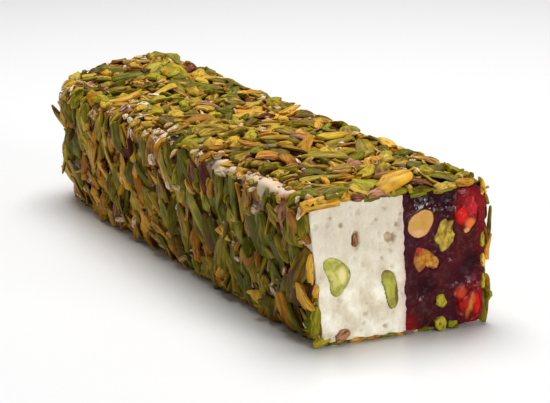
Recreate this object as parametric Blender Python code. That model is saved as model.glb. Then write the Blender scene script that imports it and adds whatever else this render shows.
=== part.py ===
"""A bar of two-layer Turkish delight: white nougat beside pomegranate jelly, wrapped in slivered pistachio.

Units are metres, with +Z up. The bar lies along Y: its cut end faces -Y and its rounded, rolled end faces +Y.
The origin is in the middle of the bar's footprint, on the surface it rests on.
"""

import math

import bmesh
import bpy
from mathutils import Vector, noise

# The two layers together, without the coat
CORE_TOP_WIDTH = 0.0484
CORE_BOTTOM = 0.0016
CORE_TOP = 0.0358
LEFT_LEAN = 0.0038  # how far the left side draws in towards the bottom, at the cut
LEFT_LEAN_LOST = 0.0016  # how much less it draws in at the rolled end
RIGHT_LEAN = 0.0008
CORE_CORNER = 0.0024
LAYER_SPLIT_TOP = 0.0014  # where nougat meets jelly, across the top and the bottom
LAYER_SPLIT_BOTTOM = 0.0022

# The bar's length, and how its far end is finished: like the end of a loaf, its sides draw in to a blunt tip
BAR_LENGTH = 0.201
CUT_Y = -BAR_LENGTH / 2
BACK_Y = BAR_LENGTH / 2
TIP_LENGTH = 0.028
TIP_DRAW = 0.020  # how far each side has drawn in at the very tip
END_ROUNDING = 0.007  # of the top and bottom
BACK_RISE = 0.0005  # the bar is a little taller at its rolled end

# The top crowns up towards the rolled end, mostly on the jelly's side
CROWN_RISE = 0.0048
CROWN_X = 0.009
CROWN_WIDTH = 0.014
CROWN_LENGTH = 0.060

# The pistachio coat outside the two layers
COAT_LEFT = 0.0017
COAT_LEFT_FOOT = 0.0030  # the coat piles up low on the left side
COAT_RIGHT = 0.0014
COAT_TOP = 0.0021
COAT_BOTTOM = CORE_BOTTOM
COAT_BACK = 0.0022
RELIEF = 0.0007
RELIEF_GRAIN = 0.0055  # size of one bump, about half a sliver

# The rolled end is pinched in at half height, where the nougat was folded over, and swells out below that
PINCH_DEPTH = 0.0009
PINCH_HEIGHT = 0.0205
PINCH_WIDTH = 0.0032
PINCH_START = 0.055  # how far from the tip the pinch begins, and where it is fully there
PINCH_FULL = 0.020
FOOT_SWELL = 0.0012
FOOT_HEIGHT = 0.0110
FOOT_WIDTH = 0.0060
TUCK_DEPTH = 0.0040  # its lowest left edge is tucked in where it meets the board
TUCK_HEIGHT = 0.0080

# How finely each shape is drawn
FIT_GAP = 0.0003  # clearance between neighbouring pieces
COAT_STEP = 0.0053  # between two rings of the coat's outside
INNER_STATIONS = 8
END_STATIONS = 7
WHOLE_SIDES = (3, 7, 10, 7)  # points along the bottom, right, top and left of a ring
HALF_SIDES = (2, 7, 4, 7)
ARC_POINTS = 2
KERNEL_POINTS = 18
KERNEL_RINGS = 4
POCKET_REACH = 0.001  # how far a pocket's cutter stands out of the cut face

# Nuts and pomegranate seeds that the knife laid open.
# name: layer, centre x, centre z, width, height, tilt in degrees, taper, point, depth
CUT_PIECES = {
    "nougat_kernel_wide": ("nougat", -0.0168, 0.0172, 0.0078, 0.0104, 18, 0.34, 0.0, 0.0062),
    "nougat_kernel_narrow": ("nougat", -0.0025, 0.0128, 0.0040, 0.0108, 9, 0.0, 0.0, 0.0070),
    "jelly_nut_round": ("jelly", 0.0061, 0.0281, 0.0074, 0.0066, -20, 0.0, 0.0, 0.0050),
    "jelly_kernel_leaf": ("jelly", 0.0128, 0.0246, 0.0050, 0.0088, -20, 0.0, 0.45, 0.0045),
    "jelly_nut_broken": ("jelly", 0.0078, 0.0190, 0.0064, 0.0066, 15, -0.25, 0.2, 0.0045),
    "jelly_seed_upper": ("jelly", 0.0195, 0.0290, 0.0058, 0.0108, -4, -0.12, 0.0, 0.0060),
    "jelly_seed_lower": ("jelly", 0.0190, 0.0076, 0.0080, 0.0104, -8, 0.08, 0.0, 0.0062),
}

# Colours, as linear RGB with alpha, then roughness
NOUGAT_WHITE = ((0.80, 0.76, 0.64, 1.0), 0.75)
JELLY_RED = ((0.10, 0.006, 0.012, 1.0), 0.25)
PISTACHIO_COAT = ((0.30, 0.28, 0.05, 1.0), 0.60)
KERNEL_GREEN = ((0.46, 0.55, 0.11, 1.0), 0.50)
NUT_TAN = ((0.58, 0.34, 0.10, 1.0), 0.50)
SEED_RED = ((0.50, 0.02, 0.01, 1.0), 0.15)


def clear_scene():
    """Removes whatever the scene holds."""
    for thing in list(bpy.data.objects):
        bpy.data.objects.remove(thing)


def material(name, finish):
    """A Principled material of one colour and roughness."""
    colour, roughness = finish
    made = bpy.data.materials.get(name) or bpy.data.materials.new(name)
    made.use_nodes = True
    made.diffuse_color = colour
    shader = made.node_tree.nodes["Principled BSDF"]
    shader.inputs["Base Color"].default_value = colour
    shader.inputs["Roughness"].default_value = roughness
    shader.inputs["Metallic"].default_value = 0.0
    return made


def smoothstep(t):
    """Rises from 0 to 1 with level ends."""
    t = min(max(t, 0.0), 1.0)
    return t * t * (3 - 2 * t)


def end_inset(y, back_y, length, depth):
    """How far the outline has drawn in at y, on a quarter oval of this length and depth, ending at back_y."""
    share = (y - (back_y - length)) / length
    if share <= 0:
        return 0.0
    return depth * (1 - math.sqrt(max(1 - share * share, 0.0)))


def crown(x, y, z):
    """How far the top is raised towards the rolled end: a bell across the bar that grows along it."""
    bell = math.exp(-(((x - CROWN_X) / CROWN_WIDTH) ** 2))
    towards_end = smoothstep((y - (BACK_Y - CROWN_LENGTH)) / CROWN_LENGTH)
    near_top = smoothstep(2 * z / CORE_TOP - 1)
    return CROWN_RISE * bell * towards_end * near_top


def core_corners(y, left, left_foot, right, bottom, top):
    """The four corners of the cross-section at y, each side moved out by its own margin.

    They run bottom left, bottom right, top right, top left, as (x, z).
    """
    share = smoothstep((y - CUT_Y) / BAR_LENGTH)
    rise = BACK_RISE * share
    lean = LEFT_LEAN - LEFT_LEAN_LOST * share
    half = CORE_TOP_WIDTH / 2
    low, high = CORE_BOTTOM - bottom, CORE_TOP + rise + top
    return [
        (-half + lean - left_foot, low),
        (half - RIGHT_LEAN + right, low),
        (half + right, high),
        (-half - left, high),
    ]


def rounded_outline(corners, radii, side_points):
    """Points round a quadrilateral, anticlockwise, with each corner rounded by its own radius.

    Each side gives side_points[i] points after its corner's arc, evenly spaced.
    """
    count = len(corners)
    spots = [Vector(c) for c in corners]
    starts, ends, arcs = [], [], []
    for i, spot in enumerate(spots):
        to_last = (spots[i - 1] - spot).normalized()
        to_next = (spots[(i + 1) % count] - spot).normalized()
        radius = radii[i]
        if radius <= 0:
            starts.append(spot)
            ends.append(spot)
            arcs.append([spot])
            continue
        half_angle = to_last.angle(to_next) / 2
        reach = radius / math.tan(half_angle)
        first, last = spot + to_last * reach, spot + to_next * reach
        centre = spot + (to_last + to_next).normalized() * (radius / math.sin(half_angle))
        shares = [k / (ARC_POINTS + 1) for k in range(ARC_POINTS + 2)]
        spokes = [(first - centre).lerp(last - centre, share) for share in shares]
        arcs.append([centre + spoke.normalized() * radius for spoke in spokes])
        starts.append(first)
        ends.append(last)
    outline = []
    for i in range(count):
        outline += arcs[i]
        gap = starts[(i + 1) % count] - ends[i]
        outline += [ends[i] + gap * (k / (side_points[i] + 1)) for k in range(1, side_points[i] + 1)]
    return outline


def outward(outline):
    """The outward direction at each point of an anticlockwise outline."""
    found = []
    for i, spot in enumerate(outline):
        along = outline[(i + 1) % len(outline)] - outline[i - 1]
        found.append(Vector((along.y, -along.x)).normalized())
    return found


def near_end(y):
    """0 along most of the bar, rising to 1 over the stretch where its rolled end was folded."""
    return smoothstep((y - (BACK_Y - PINCH_START)) / (PINCH_START - PINCH_FULL))


def pinch(x, y, z):
    """Depth of the fold at half height, less the swelling below it, on the left of the rolled end."""
    fold = PINCH_DEPTH * math.exp(-(((z - PINCH_HEIGHT) / PINCH_WIDTH) ** 2))
    foot = FOOT_SWELL * math.exp(-(((z - FOOT_HEIGHT) / FOOT_WIDTH) ** 2))
    return (fold - foot) * near_end(y) * smoothstep(0.5 - x / CORE_TOP_WIDTH)


def tuck(x, y, z):
    """How far the lowest left edge of the rolled end is drawn in towards the bar's middle."""
    near_ground = math.exp(-((z / TUCK_HEIGHT) ** 2))
    return TUCK_DEPTH * near_ground * near_end(y) * smoothstep(-2 * x / CORE_TOP_WIDTH)


def bumps(x, y, z):
    """Relief of the coat, from -0.5 to 1: slivers stand out, and the gaps between them sit back."""
    grain = noise.noise(Vector((x, y, z)) / RELIEF_GRAIN)
    swell = noise.noise(Vector((x, y, z)) / (4 * RELIEF_GRAIN))
    return max(grain, -0.5) + 0.6 * swell


def coat_ring(y):
    """One ring of the coat's uneven outside, level where the bar rests."""
    sides = end_inset(y, BACK_Y, TIP_LENGTH, TIP_DRAW)
    flats = end_inset(y, BACK_Y, END_ROUNDING, END_ROUNDING)
    across = (COAT_LEFT - sides, COAT_LEFT_FOOT - sides, COAT_RIGHT - sides)
    corners = core_corners(y, *across, COAT_BOTTOM - flats, COAT_TOP - flats)
    outline = rounded_outline(corners, [CORE_CORNER + COAT_LEFT] * 4, WHOLE_SIDES)
    ring = []
    for spot, away in zip(outline, outward(outline)):
        off_the_base = smoothstep(1 + away.y)
        height = RELIEF * bumps(spot.x, y, spot.y) * off_the_base
        spot = spot + away * (height - pinch(spot.x, y, spot.y) * off_the_base)
        ring.append(Vector((spot.x + tuck(spot.x, y, spot.y), y, spot.y + crown(spot.x, y, spot.y))))
    return ring


def coat_end_rings(last):
    """Rings that close the coat's rolled end, shrinking from its last ring to near its middle."""
    middle = sum(last, Vector()) / len(last)
    rings = []
    for share in (0.78, 0.54, 0.28):
        spots = [middle.lerp(spot, share) for spot in last]
        rings.append([Vector((s.x, BACK_Y + RELIEF * bumps(s.x, BACK_Y, s.z), s.z)) for s in spots])
    return rings


def core_half_corners(y, grow, half):
    """Corners and radii of one layer at y, or of both, drawn in round the rolled end."""
    back, shorter = BACK_Y - COAT_BACK + grow, grow - COAT_BACK
    sides = end_inset(y, back, TIP_LENGTH + shorter, TIP_DRAW)
    flats = end_inset(y, back, END_ROUNDING + shorter, END_ROUNDING + shorter)
    low_left, low_right, high_right, high_left = core_corners(y, *[grow - sides] * 3, *[grow - flats] * 2)
    if half == "both":
        return [low_left, low_right, high_right, high_left], [CORE_CORNER + grow] * 4
    step = -FIT_GAP / 2 if half == "nougat" else FIT_GAP / 2
    low_split = (LAYER_SPLIT_BOTTOM + step, low_left[1])
    high_split = (LAYER_SPLIT_TOP + step, high_left[1])
    if half == "nougat":
        return [low_left, low_split, high_split, high_left], [CORE_CORNER, 0, 0, CORE_CORNER]
    return [low_split, low_right, high_right, high_split], [0, CORE_CORNER, CORE_CORNER, 0]


def core_ring(y, grow, half):
    """One ring of a layer, or of the two together grown by the fit gap."""
    corners, radii = core_half_corners(y, grow, half)
    outline = rounded_outline(corners, radii, WHOLE_SIDES if half == "both" else HALF_SIDES)
    ring = []
    for spot, away in zip(outline, outward(outline)):
        depth = 0.0 if half == "jelly" or away.x > 0 else pinch(spot.x, y, spot.y)
        spot = spot - away * depth
        ring.append(Vector((spot.x + tuck(spot.x, y, spot.y), y, spot.y + crown(spot.x, y, spot.y))))
    return ring


def stations(first, back, length, count):
    """Places along Y: evenly spaced up to the quarter oval of this length, then by equal angles round it."""
    straight = back - length
    along = [first + (straight - first) * k / count for k in range(count + 1)]
    turns = [math.pi / 2 * k / (END_STATIONS + 1) for k in range(1, END_STATIONS + 1)]
    return along + [straight + length * math.sin(turn) for turn in turns]


def loft(name, rings, finish):
    """A closed object whose skin joins each ring to the next, with a fan over each end."""
    mesh = bmesh.new()
    loops = [[mesh.verts.new(spot) for spot in ring] for ring in rings]
    for this, following in zip(loops, loops[1:]):
        for i in range(len(this)):
            j = (i + 1) % len(this)
            mesh.faces.new((this[i], this[j], following[j], following[i]))
    for loop in (loops[0], loops[-1]):
        middle = sum((corner.co for corner in loop), Vector()) / len(loop)
        hub = mesh.verts.new((middle.x, loop[0].co.y, middle.z))
        for i, corner in enumerate(loop):
            mesh.faces.new((loop[i - 1], corner, hub))
    bmesh.ops.triangulate(mesh, faces=mesh.faces, quad_method="SHORT_EDGE")
    bmesh.ops.recalc_face_normals(mesh, faces=mesh.faces)
    made = bpy.data.objects.new(name, bpy.data.meshes.new(name))
    mesh.to_mesh(made.data)
    mesh.free()
    made.data.shade_smooth()
    made.data.set_sharp_from_angle(angle=math.radians(40))
    made.data.materials.append(finish)
    bpy.context.scene.collection.objects.link(made)
    return made


def make_layer(name, half, finish):
    """One of the two layers, from the cut face to the rounded end."""
    back, length = BACK_Y - COAT_BACK, TIP_LENGTH - COAT_BACK
    rings = [core_ring(y, 0.0, half) for y in stations(CUT_Y, back, length, INNER_STATIONS)]
    return loft(name, rings, finish)


def make_coat(finish):
    """The sleeve of slivers: its inside follows the layers, and its closed end covers theirs."""
    thinner = FIT_GAP - COAT_BACK
    inside = stations(CUT_Y, BACK_Y + thinner, TIP_LENGTH + thinner, INNER_STATIONS)
    outside = stations(CUT_Y, BACK_Y, TIP_LENGTH, round((BAR_LENGTH - TIP_LENGTH) / COAT_STEP))
    rings = [core_ring(y, FIT_GAP, "both") for y in reversed(inside)]
    rings += [coat_ring(y) for y in outside]
    rings += coat_end_rings(rings[-1])
    return loft("pistachio_coat", rings, finish)


def kernel_ring(piece, y, shrink, grow):
    """The outline of a nut or seed at y: an ellipse, tapered to one end and drawn to points.

    Its half width is multiplied by 1 + taper * sin(angle) and by |cos(angle)| to the power of point.
    """
    _, centre_x, centre_z, width, height, tilt, taper, point, _ = piece
    lean = math.radians(tilt)
    ring = []
    for k in range(KERNEL_POINTS):
        angle = 2 * math.pi * (k + 0.5) / KERNEL_POINTS
        across = math.cos(angle) * (1 + taper * math.sin(angle)) * abs(math.cos(angle)) ** point
        x = (width / 2 + grow) * shrink * across
        z = (height / 2 + grow) * shrink * math.sin(angle)
        ring.append(
            Vector((
                centre_x + x * math.cos(lean) + z * math.sin(lean),
                y,
                centre_z - x * math.sin(lean) + z * math.cos(lean),
            ))
        )
    return ring


def kernel_rings(piece, grow, front):
    """Rings from the cut face into the layer, shrinking like a quarter round."""
    depth = piece[-1] + grow
    rings = [kernel_ring(piece, CUT_Y - front, 1.0, grow)] if front else []
    for k in range(KERNEL_RINGS):
        turn = math.pi / 2 * k / KERNEL_RINGS
        rings.append(kernel_ring(piece, CUT_Y + depth * math.sin(turn), math.cos(turn), grow))
    return rings


def set_into(layer, name, piece, finish):
    """A nut or seed flush with the cut face, in a pocket cut out of its layer."""
    nut = loft(name, kernel_rings(piece, 0.0, 0.0), finish)
    cutter = loft("pocket_for_" + name, kernel_rings(piece, FIT_GAP, POCKET_REACH), finish)
    cutter.hide_render = True
    cutter.display_type = "WIRE"
    pocket = layer.modifiers.new("pocket_for_" + name, "BOOLEAN")
    pocket.operation = "DIFFERENCE"
    pocket.solver = "EXACT"
    pocket.object = cutter
    return nut, cutter


def centre_on_base(things):
    """Hangs everything on one empty, placed so that the origin is the middle of the footprint."""
    spots = [spot.co for thing in things for spot in thing.data.vertices if not thing.hide_render]
    low = [min(spot[i] for spot in spots) for i in range(3)]
    high = [max(spot[i] for spot in spots) for i in range(3)]
    root = bpy.data.objects.new("bar", None)
    root.location = (-(low[0] + high[0]) / 2, -(low[1] + high[1]) / 2, -low[2])
    bpy.context.scene.collection.objects.link(root)
    for thing in things:
        thing.parent = root
    print("bar size in mm:", [round((b - a) * 1000, 2) for a, b in zip(low, high)])


def main():
    clear_scene()
    layers = {
        "nougat": make_layer("nougat_layer", "nougat", material("nougat", NOUGAT_WHITE)),
        "jelly": make_layer("jelly_layer", "jelly", material("jelly", JELLY_RED)),
    }
    things = [*layers.values(), make_coat(material("pistachio_coat", PISTACHIO_COAT))]
    green = material("pistachio_kernel", KERNEL_GREEN)
    tan = material("nut_flesh", NUT_TAN)
    red = material("pomegranate_seed", SEED_RED)
    for name, piece in CUT_PIECES.items():
        finish = green if "kernel" in name else tan if "nut" in name else red
        things += set_into(layers[piece[0]], name, piece, finish)
    centre_on_base(things)


main()
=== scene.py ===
# %% [markdown]
# # A bar of two-layer Turkish delight
# The real bar is made by hand. White nougat with pistachios in it and dark pomegranate jelly with nuts and
# seeds are laid side by side, rolled in slivered pistachio, and cut across with a long knife. This lesson
# builds it in the same order: the two layers, the nuts and seeds that the knife laid open, and then the
# coat, sliver by sliver.

# %% Load the solid model
import math

import bpy
import numpy as np
from mathutils import Matrix, Vector
from mathutils.bvhtree import BVHTree


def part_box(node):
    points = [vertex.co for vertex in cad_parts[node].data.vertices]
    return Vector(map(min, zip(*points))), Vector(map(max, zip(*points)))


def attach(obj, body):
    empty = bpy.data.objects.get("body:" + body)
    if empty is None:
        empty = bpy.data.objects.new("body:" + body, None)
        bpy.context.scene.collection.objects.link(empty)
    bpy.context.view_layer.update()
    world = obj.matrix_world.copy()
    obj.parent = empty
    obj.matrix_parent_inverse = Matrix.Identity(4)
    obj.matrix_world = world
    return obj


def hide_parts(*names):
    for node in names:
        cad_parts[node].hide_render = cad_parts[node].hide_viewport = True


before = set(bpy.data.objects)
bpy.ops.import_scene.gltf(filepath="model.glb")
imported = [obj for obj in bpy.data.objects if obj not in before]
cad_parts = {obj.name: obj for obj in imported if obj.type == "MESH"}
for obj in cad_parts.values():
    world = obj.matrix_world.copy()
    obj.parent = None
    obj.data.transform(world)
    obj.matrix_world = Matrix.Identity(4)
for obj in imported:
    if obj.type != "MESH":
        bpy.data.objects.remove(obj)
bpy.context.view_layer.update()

MM = 0.001
NOUGAT_LOW, NOUGAT_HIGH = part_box("nougat_layer")
JELLY_LOW, JELLY_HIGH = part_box("jelly_layer")
COAT_LOW, COAT_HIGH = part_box("pistachio_coat")
CUT_Y = NOUGAT_LOW.y

# %% [markdown]
# ## Camera
# The bar is seen from its cut end, a little from the left and from just above. The camera is placed by its
# spot, the two angles it looks along and its roll, so that each can be read and changed by itself.

# %% Place the camera
CAMERA_SPOT = Vector((-0.2239, -0.5237, 0.1467))
LOOK_RIGHT, LOOK_DOWN, ROLL = (math.radians(angle) for angle in (24.3, 13.17, -0.85))
LENS = 132.09225  # mm, in front of a sensor 36 mm wide

camera = bpy.data.objects.new("camera", bpy.data.cameras.new("camera"))
camera.data.sensor_width = 36
camera.data.lens = LENS
camera.data.clip_start = 0.01
aim = Matrix.Rotation(-LOOK_RIGHT, 4, "Z") @ Matrix.Rotation(math.pi / 2 - LOOK_DOWN, 4, "X")
camera.matrix_world = Matrix.Translation(CAMERA_SPOT) @ aim @ Matrix.Rotation(ROLL, 4, "Z")
bpy.context.scene.collection.objects.link(camera)
bpy.context.scene.camera = camera
print("camera to the cut face in mm:", round((CAMERA_SPOT - Vector((0, CUT_Y, 0))).length / MM))

# %% [markdown]
# ## Surfaces from arrays
# Every piece here is worked out as whole arrays of points and handed to Blender at once. One helper fills a
# mesh from points and faces, and one joins rings of points, as a skin is stretched over ribs.

# %% Mesh helpers


def mark(mesh, key, values):
    """Keeps one number with each point of a mesh, under a name that a finish can read."""
    mesh.attributes.new(key, "FLOAT", "POINT").data.foreach_set("value", np.asarray(values, np.float32).ravel())


def make_object(name, points, faces, corner_uv=None, point_values=None):
    """Fills a new smooth-shaded mesh object from an array of points and a list of arrays of faces."""
    mesh = bpy.data.meshes.new(name)
    points = np.ascontiguousarray(points, np.float32).reshape(-1, 3)
    corners = np.concatenate([part.ravel() for part in faces])
    sizes = np.concatenate([np.full(len(part), part.shape[1]) for part in faces])
    mesh.vertices.add(len(points))
    mesh.vertices.foreach_set("co", points.ravel())
    mesh.loops.add(len(corners))
    mesh.loops.foreach_set("vertex_index", corners.astype(np.int32))
    mesh.polygons.add(len(sizes))
    mesh.polygons.foreach_set("loop_start", (np.cumsum(sizes) - sizes).astype(np.int32))
    mesh.update(calc_edges=True)
    if corner_uv is not None:
        uv = np.asarray(corner_uv, np.float32)[corners]
        mesh.uv_layers.new(name="grain").uv.foreach_set("vector", uv.ravel())
    for key, values in (point_values or {}).items():
        mark(mesh, key, values)
    mesh.shade_smooth()
    made = bpy.data.objects.new(name, mesh)
    bpy.context.scene.collection.objects.link(made)
    return made


def points_of(thing):
    """The points of a mesh object, as an array of (points, 3)."""
    spots = np.empty(len(thing.data.vertices) * 3, np.float32)
    thing.data.vertices.foreach_get("co", spots)
    return spots.reshape(-1, 3)


def join_rings(index):
    """Quads between neighbouring rings, from the numbers of their points, one row to a ring."""
    ahead = np.roll(index, -1, 1)
    return np.stack([index[:-1], index[1:], ahead[1:], ahead[:-1]], -1).reshape(-1, 4)


def closed_rings(rings, around):
    """Faces of rings numbered in order, closed by a fan at each end. Tip and tail are the next two points."""
    index = np.arange(rings * around).reshape(rings, around)
    first, last = index[0], index[-1]
    tip, tail = np.full((2, around), [[rings * around], [rings * around + 1]])
    fans = [np.stack([tip, first, np.roll(first, -1)], -1), np.stack([tail, np.roll(last, -1), last], -1)]
    return join_rings(index), np.concatenate(fans)


def unit(vectors):
    """Vectors at length 1."""
    return vectors / np.linalg.norm(vectors, axis=-1, keepdims=True)


print("three rings of four points make", sum(len(part) for part in closed_rings(3, 4)), "faces")

# %% [markdown]
# Nothing made by hand is even. Noise on a lattice gives lumps and waves of any size, and round bowls at
# chance places are the pores that air leaves.

# %% Noise and pores


def smoothstep(low, high, value):
    """Rises from 0 at low to 1 at high, with level ends."""
    share = np.clip((value - low) / (high - low), 0, 1)
    return share * share * (3 - 2 * share)


def noise(points, size, seed):
    """Smooth noise from -1 to 1: random values on a lattice of this size, blended by 3t^2 - 2t^3."""
    points = np.asarray(points, float) / size
    cell = np.floor(points).astype(np.int64)
    share = smoothstep(0, 1, points - cell)
    table = np.random.default_rng(seed).uniform(-1, 1, 4096)
    total = np.zeros(points.shape[:-1])
    for corner in np.ndindex(2, 2, 2):
        at = cell + corner
        key = (at[..., 0] * 73856093 ^ at[..., 1] * 19349663 ^ at[..., 2] * 83492791) & 4095
        total += np.prod(np.where(corner, share, 1 - share), axis=-1) * table[key]
    return total


def rough(points, size, seed):
    """Three layers of noise: each is half the size and half the height of the one before."""
    return sum(noise(points, size / 2**k, seed + k) / 2**k for k in range(3))


def pores(x, z, spacing, chance, seed):
    """Depth of scattered round bowls: radius * (1 - (distance / radius)^2), at most one to each square."""
    table = np.random.default_rng(seed).random((4, 4096))
    depth = np.zeros(x.shape)
    for step in np.ndindex(3, 3):
        at_x = np.floor(x / spacing).astype(np.int64) + step[0] - 1
        at_z = np.floor(z / spacing).astype(np.int64) + step[1] - 1
        there, off_x, off_z, size = table[:, (at_x * 73856093 ^ at_z * 19349663) & 4095]
        radius = spacing * (0.12 + 0.4 * size**2)
        away = np.hypot(x - (at_x + off_x) * spacing, z - (at_z + off_z) * spacing)
        depth = np.maximum(depth, radius * np.clip(1 - (away / radius) ** 2, 0, 1) * (there < chance))
    return depth


sample = noise(np.random.default_rng(1).uniform(0, 1, (1000, 3)), 0.1, 1)
print("noise spans", round(float(sample.min()), 2), "to", round(float(sample.max()), 2))

# %% [markdown]
# ## What the knife laid open
# Two pistachio kernels show in the nougat, and three nuts and two pomegranate seeds in the jelly. Each has
# its own outline, so each is drawn as a few points joined by a smooth closed curve. Outlines come before
# the layers, because the layers are hollowed out to take them.

# %% Outlines of the nuts and seeds
OUTLINES = {  # layer, piece, and points round its rim, as x and z in mm
    "nougat": {
        "kernel_wide": [(-19.9, 22.5), (-18.0, 22.7), (-15.2, 21.2), (-13.0, 18.7), (-13.3, 16.2),
                        (-15.4, 13.3), (-16.9, 12.3), (-18.5, 13.7), (-19.0, 17.0), (-20.6, 20.7)],
        "kernel_narrow": [(-3.9, 17.8), (-2.4, 17.6), (-0.9, 16.0), (0.1, 11.4), (-0.2, 8.3), (-1.3, 7.3),
                          (-2.5, 8.0), (-3.9, 12.8), (-4.8, 16.3)],
    },
    "jelly": {
        "nut_round": [(2.6, 28.1), (3.3, 29.8), (4.8, 30.9), (7.1, 31.7), (9.2, 31.0), (9.8, 29.0), (9.1, 26.9),
                      (7.5, 25.0), (5.1, 24.6), (3.0, 26.0)],
        "kernel_leaf": [(11.4, 27.4), (12.8, 28.8), (14.4, 28.2), (15.5, 28.2), (15.2, 25.7), (15.9, 23.9),
                        (14.4, 21.6), (12.3, 20.2), (11.1, 22.2), (9.7, 23.8), (10.8, 25.4)],
        "nut_broken": [(4.6, 21.1), (5.2, 22.4), (6.8, 21.9), (8.5, 21.2), (9.8, 19.9), (11.0, 19.0),
                       (11.4, 17.4), (10.6, 16.3), (8.8, 16.3), (7.6, 17.3), (6.8, 16.2), (5.8, 15.6),
                       (4.6, 17.3), (4.1, 18.9)],
        "seed_upper": [(15.9, 29.0), (16.8, 32.4), (19.0, 34.4), (21.2, 33.8), (22.3, 30.9), (22.0, 27.3),
                       (20.4, 25.2), (18.9, 24.0), (17.8, 26.0), (16.3, 27.3)],
        "seed_lower": [(15.1, 9.3), (16.9, 11.1), (19.9, 11.2), (22.2, 9.4), (23.2, 6.0), (22.4, 3.2),
                       (20.2, 1.9), (17.8, 2.1), (16.4, 4.4), (16.1, 7.4)],
    },
}
RIM_STEPS = 96


def closed_curve(points, steps):
    """A smooth loop through the points: between two of them, the cubic that keeps the neighbours' slope."""
    points = np.asarray(points, float)
    place = np.linspace(0, len(points), steps, endpoint=False)
    left = place.astype(int)
    t = (place - left)[:, None]
    before, start, end, after = (points[(left + k) % len(points)] for k in (-1, 0, 1, 2))
    straight = 2 * start + (end - before) * t
    bend = (2 * before - 5 * start + 4 * end - after) * t**2
    return 0.5 * (straight + bend + (3 * start - before - 3 * end + after) * t**3)


def rim_of(outline):
    """The piece's middle, and its rim's distance from there at RIM_STEPS even angles."""
    loop = closed_curve(outline, 400) * MM
    middle = (loop.min(0) + loop.max(0)) / 2
    angle = np.arctan2(loop[:, 1] - middle[1], loop[:, 0] - middle[0])
    order = np.argsort(angle)
    wanted = np.linspace(-math.pi, math.pi, RIM_STEPS, endpoint=False)
    reach = np.hypot(*(loop - middle).T)
    return middle, wanted, np.interp(wanted, angle[order], reach[order], period=2 * math.pi)


def share_of_rim(outline, x, z):
    """How far a point lies from the piece's middle, as a share of the rim's distance that way: 1 at the rim."""
    middle, angle, reach = rim_of(outline)
    here = np.arctan2(z - middle[1], x - middle[0])
    return np.hypot(x - middle[0], z - middle[1]) / np.interp(here, angle, reach, period=2 * math.pi)


for layer, pieces in OUTLINES.items():
    for name, outline in pieces.items():
        size = np.ptp(closed_curve(outline, 100), axis=0).round(1)
        print(name, "in the", layer, "is", size, "mm wide and high")

# %% [markdown]
# ## The two layers
# Each layer is a long block with rounded outer corners and a rounded far end. Its skin is one sheet of
# points: rings that run round the block, from the knife's cut to the far end. A fine grid fills the cut
# face, because that is where the eye goes, and its points move in and out to make pores, waves and the
# pockets that hold the nuts.

# %% Rings round a layer
CORNER, SHARP_CORNER = 2.4 * MM, 0.25 * MM
TOP_WIDTH = 48.4 * MM
LEFT_LEAN, LEFT_LEAN_LOST, RIGHT_LEAN = 3.8 * MM, 1.6 * MM, 0.8 * MM
SPLIT_TOP, SPLIT_BOTTOM = 1.1 * MM, 2.2 * MM
BACK_RISE = 0.5 * MM
BAR_LENGTH = 201 * MM
CORE_HEIGHT = 34.2 * MM
END_ROUNDING = 4.8 * MM  # of the top and bottom, without the coat
TIP_LENGTH, TIP_DRAW = 25.8 * MM, 20 * MM  # the sides draw in to a blunt tip
CROWN = (9 * MM, 14 * MM, 4.8 * MM)  # place across the bar, half width and rise
CROWN_LENGTH = 60 * MM
MIDDLE_X = NOUGAT_HIGH.x - SPLIT_BOTTOM + 0.15 * MM
BACK_Y = NOUGAT_HIGH.y + 0.5 * MM
TOP_Z = NOUGAT_LOW.z + CORE_HEIGHT
GROWTH = 0.25 * MM  # the layers swell into the slivers
ARC_STEPS = 6


def drawn_in(y, length, depth):
    """How far an outline has drawn in at y: depth (1 - sqrt(1 - s^2)), where s runs from 0 to 1 at the tip."""
    share = np.clip((y - BACK_Y) / length + 1, 0, 1)
    return depth * (1 - np.sqrt(1 - share**2))


def crown_at(x, y, z):
    """How far the top is raised towards the far end: a bell across the bar that grows along it."""
    across, wide, rise = CROWN
    bell = np.exp(-(((x - across) / wide) ** 2))
    return rise * bell * smoothstep(-CROWN_LENGTH, 0, y - COAT_HIGH.y) * smoothstep(0.5, 1, z / TOP_Z)


def layer_corners(y, layer):
    """Corner points at each y, as (stations, 4, 2), and the radius of each corner."""
    out = GROWTH - drawn_in(y, TIP_LENGTH, TIP_DRAW)
    share = smoothstep(0, BAR_LENGTH, y - CUT_Y)
    higher = GROWTH - drawn_in(y, END_ROUNDING, END_ROUNDING)
    low, high = NOUGAT_LOW.z - higher, TOP_Z + BACK_RISE * share + higher
    left, right = MIDDLE_X - TOP_WIDTH / 2, MIDDLE_X + TOP_WIDTH / 2
    split_low, split_high = (np.full(len(y), MIDDLE_X + split) for split in (SPLIT_BOTTOM, SPLIT_TOP))
    if layer == "nougat":
        xs = (left + LEFT_LEAN - LEFT_LEAN_LOST * share - out, split_low, split_high, left - out)
        radii = (CORNER, SHARP_CORNER, SHARP_CORNER, CORNER)
    else:
        xs = (split_low, right - RIGHT_LEAN + out, right + out, split_high)
        radii = (SHARP_CORNER, CORNER, CORNER, SHARP_CORNER)
    return np.stack([np.stack(pair, -1) for pair in zip(xs, (low, low, high, high))], 1), radii


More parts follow.
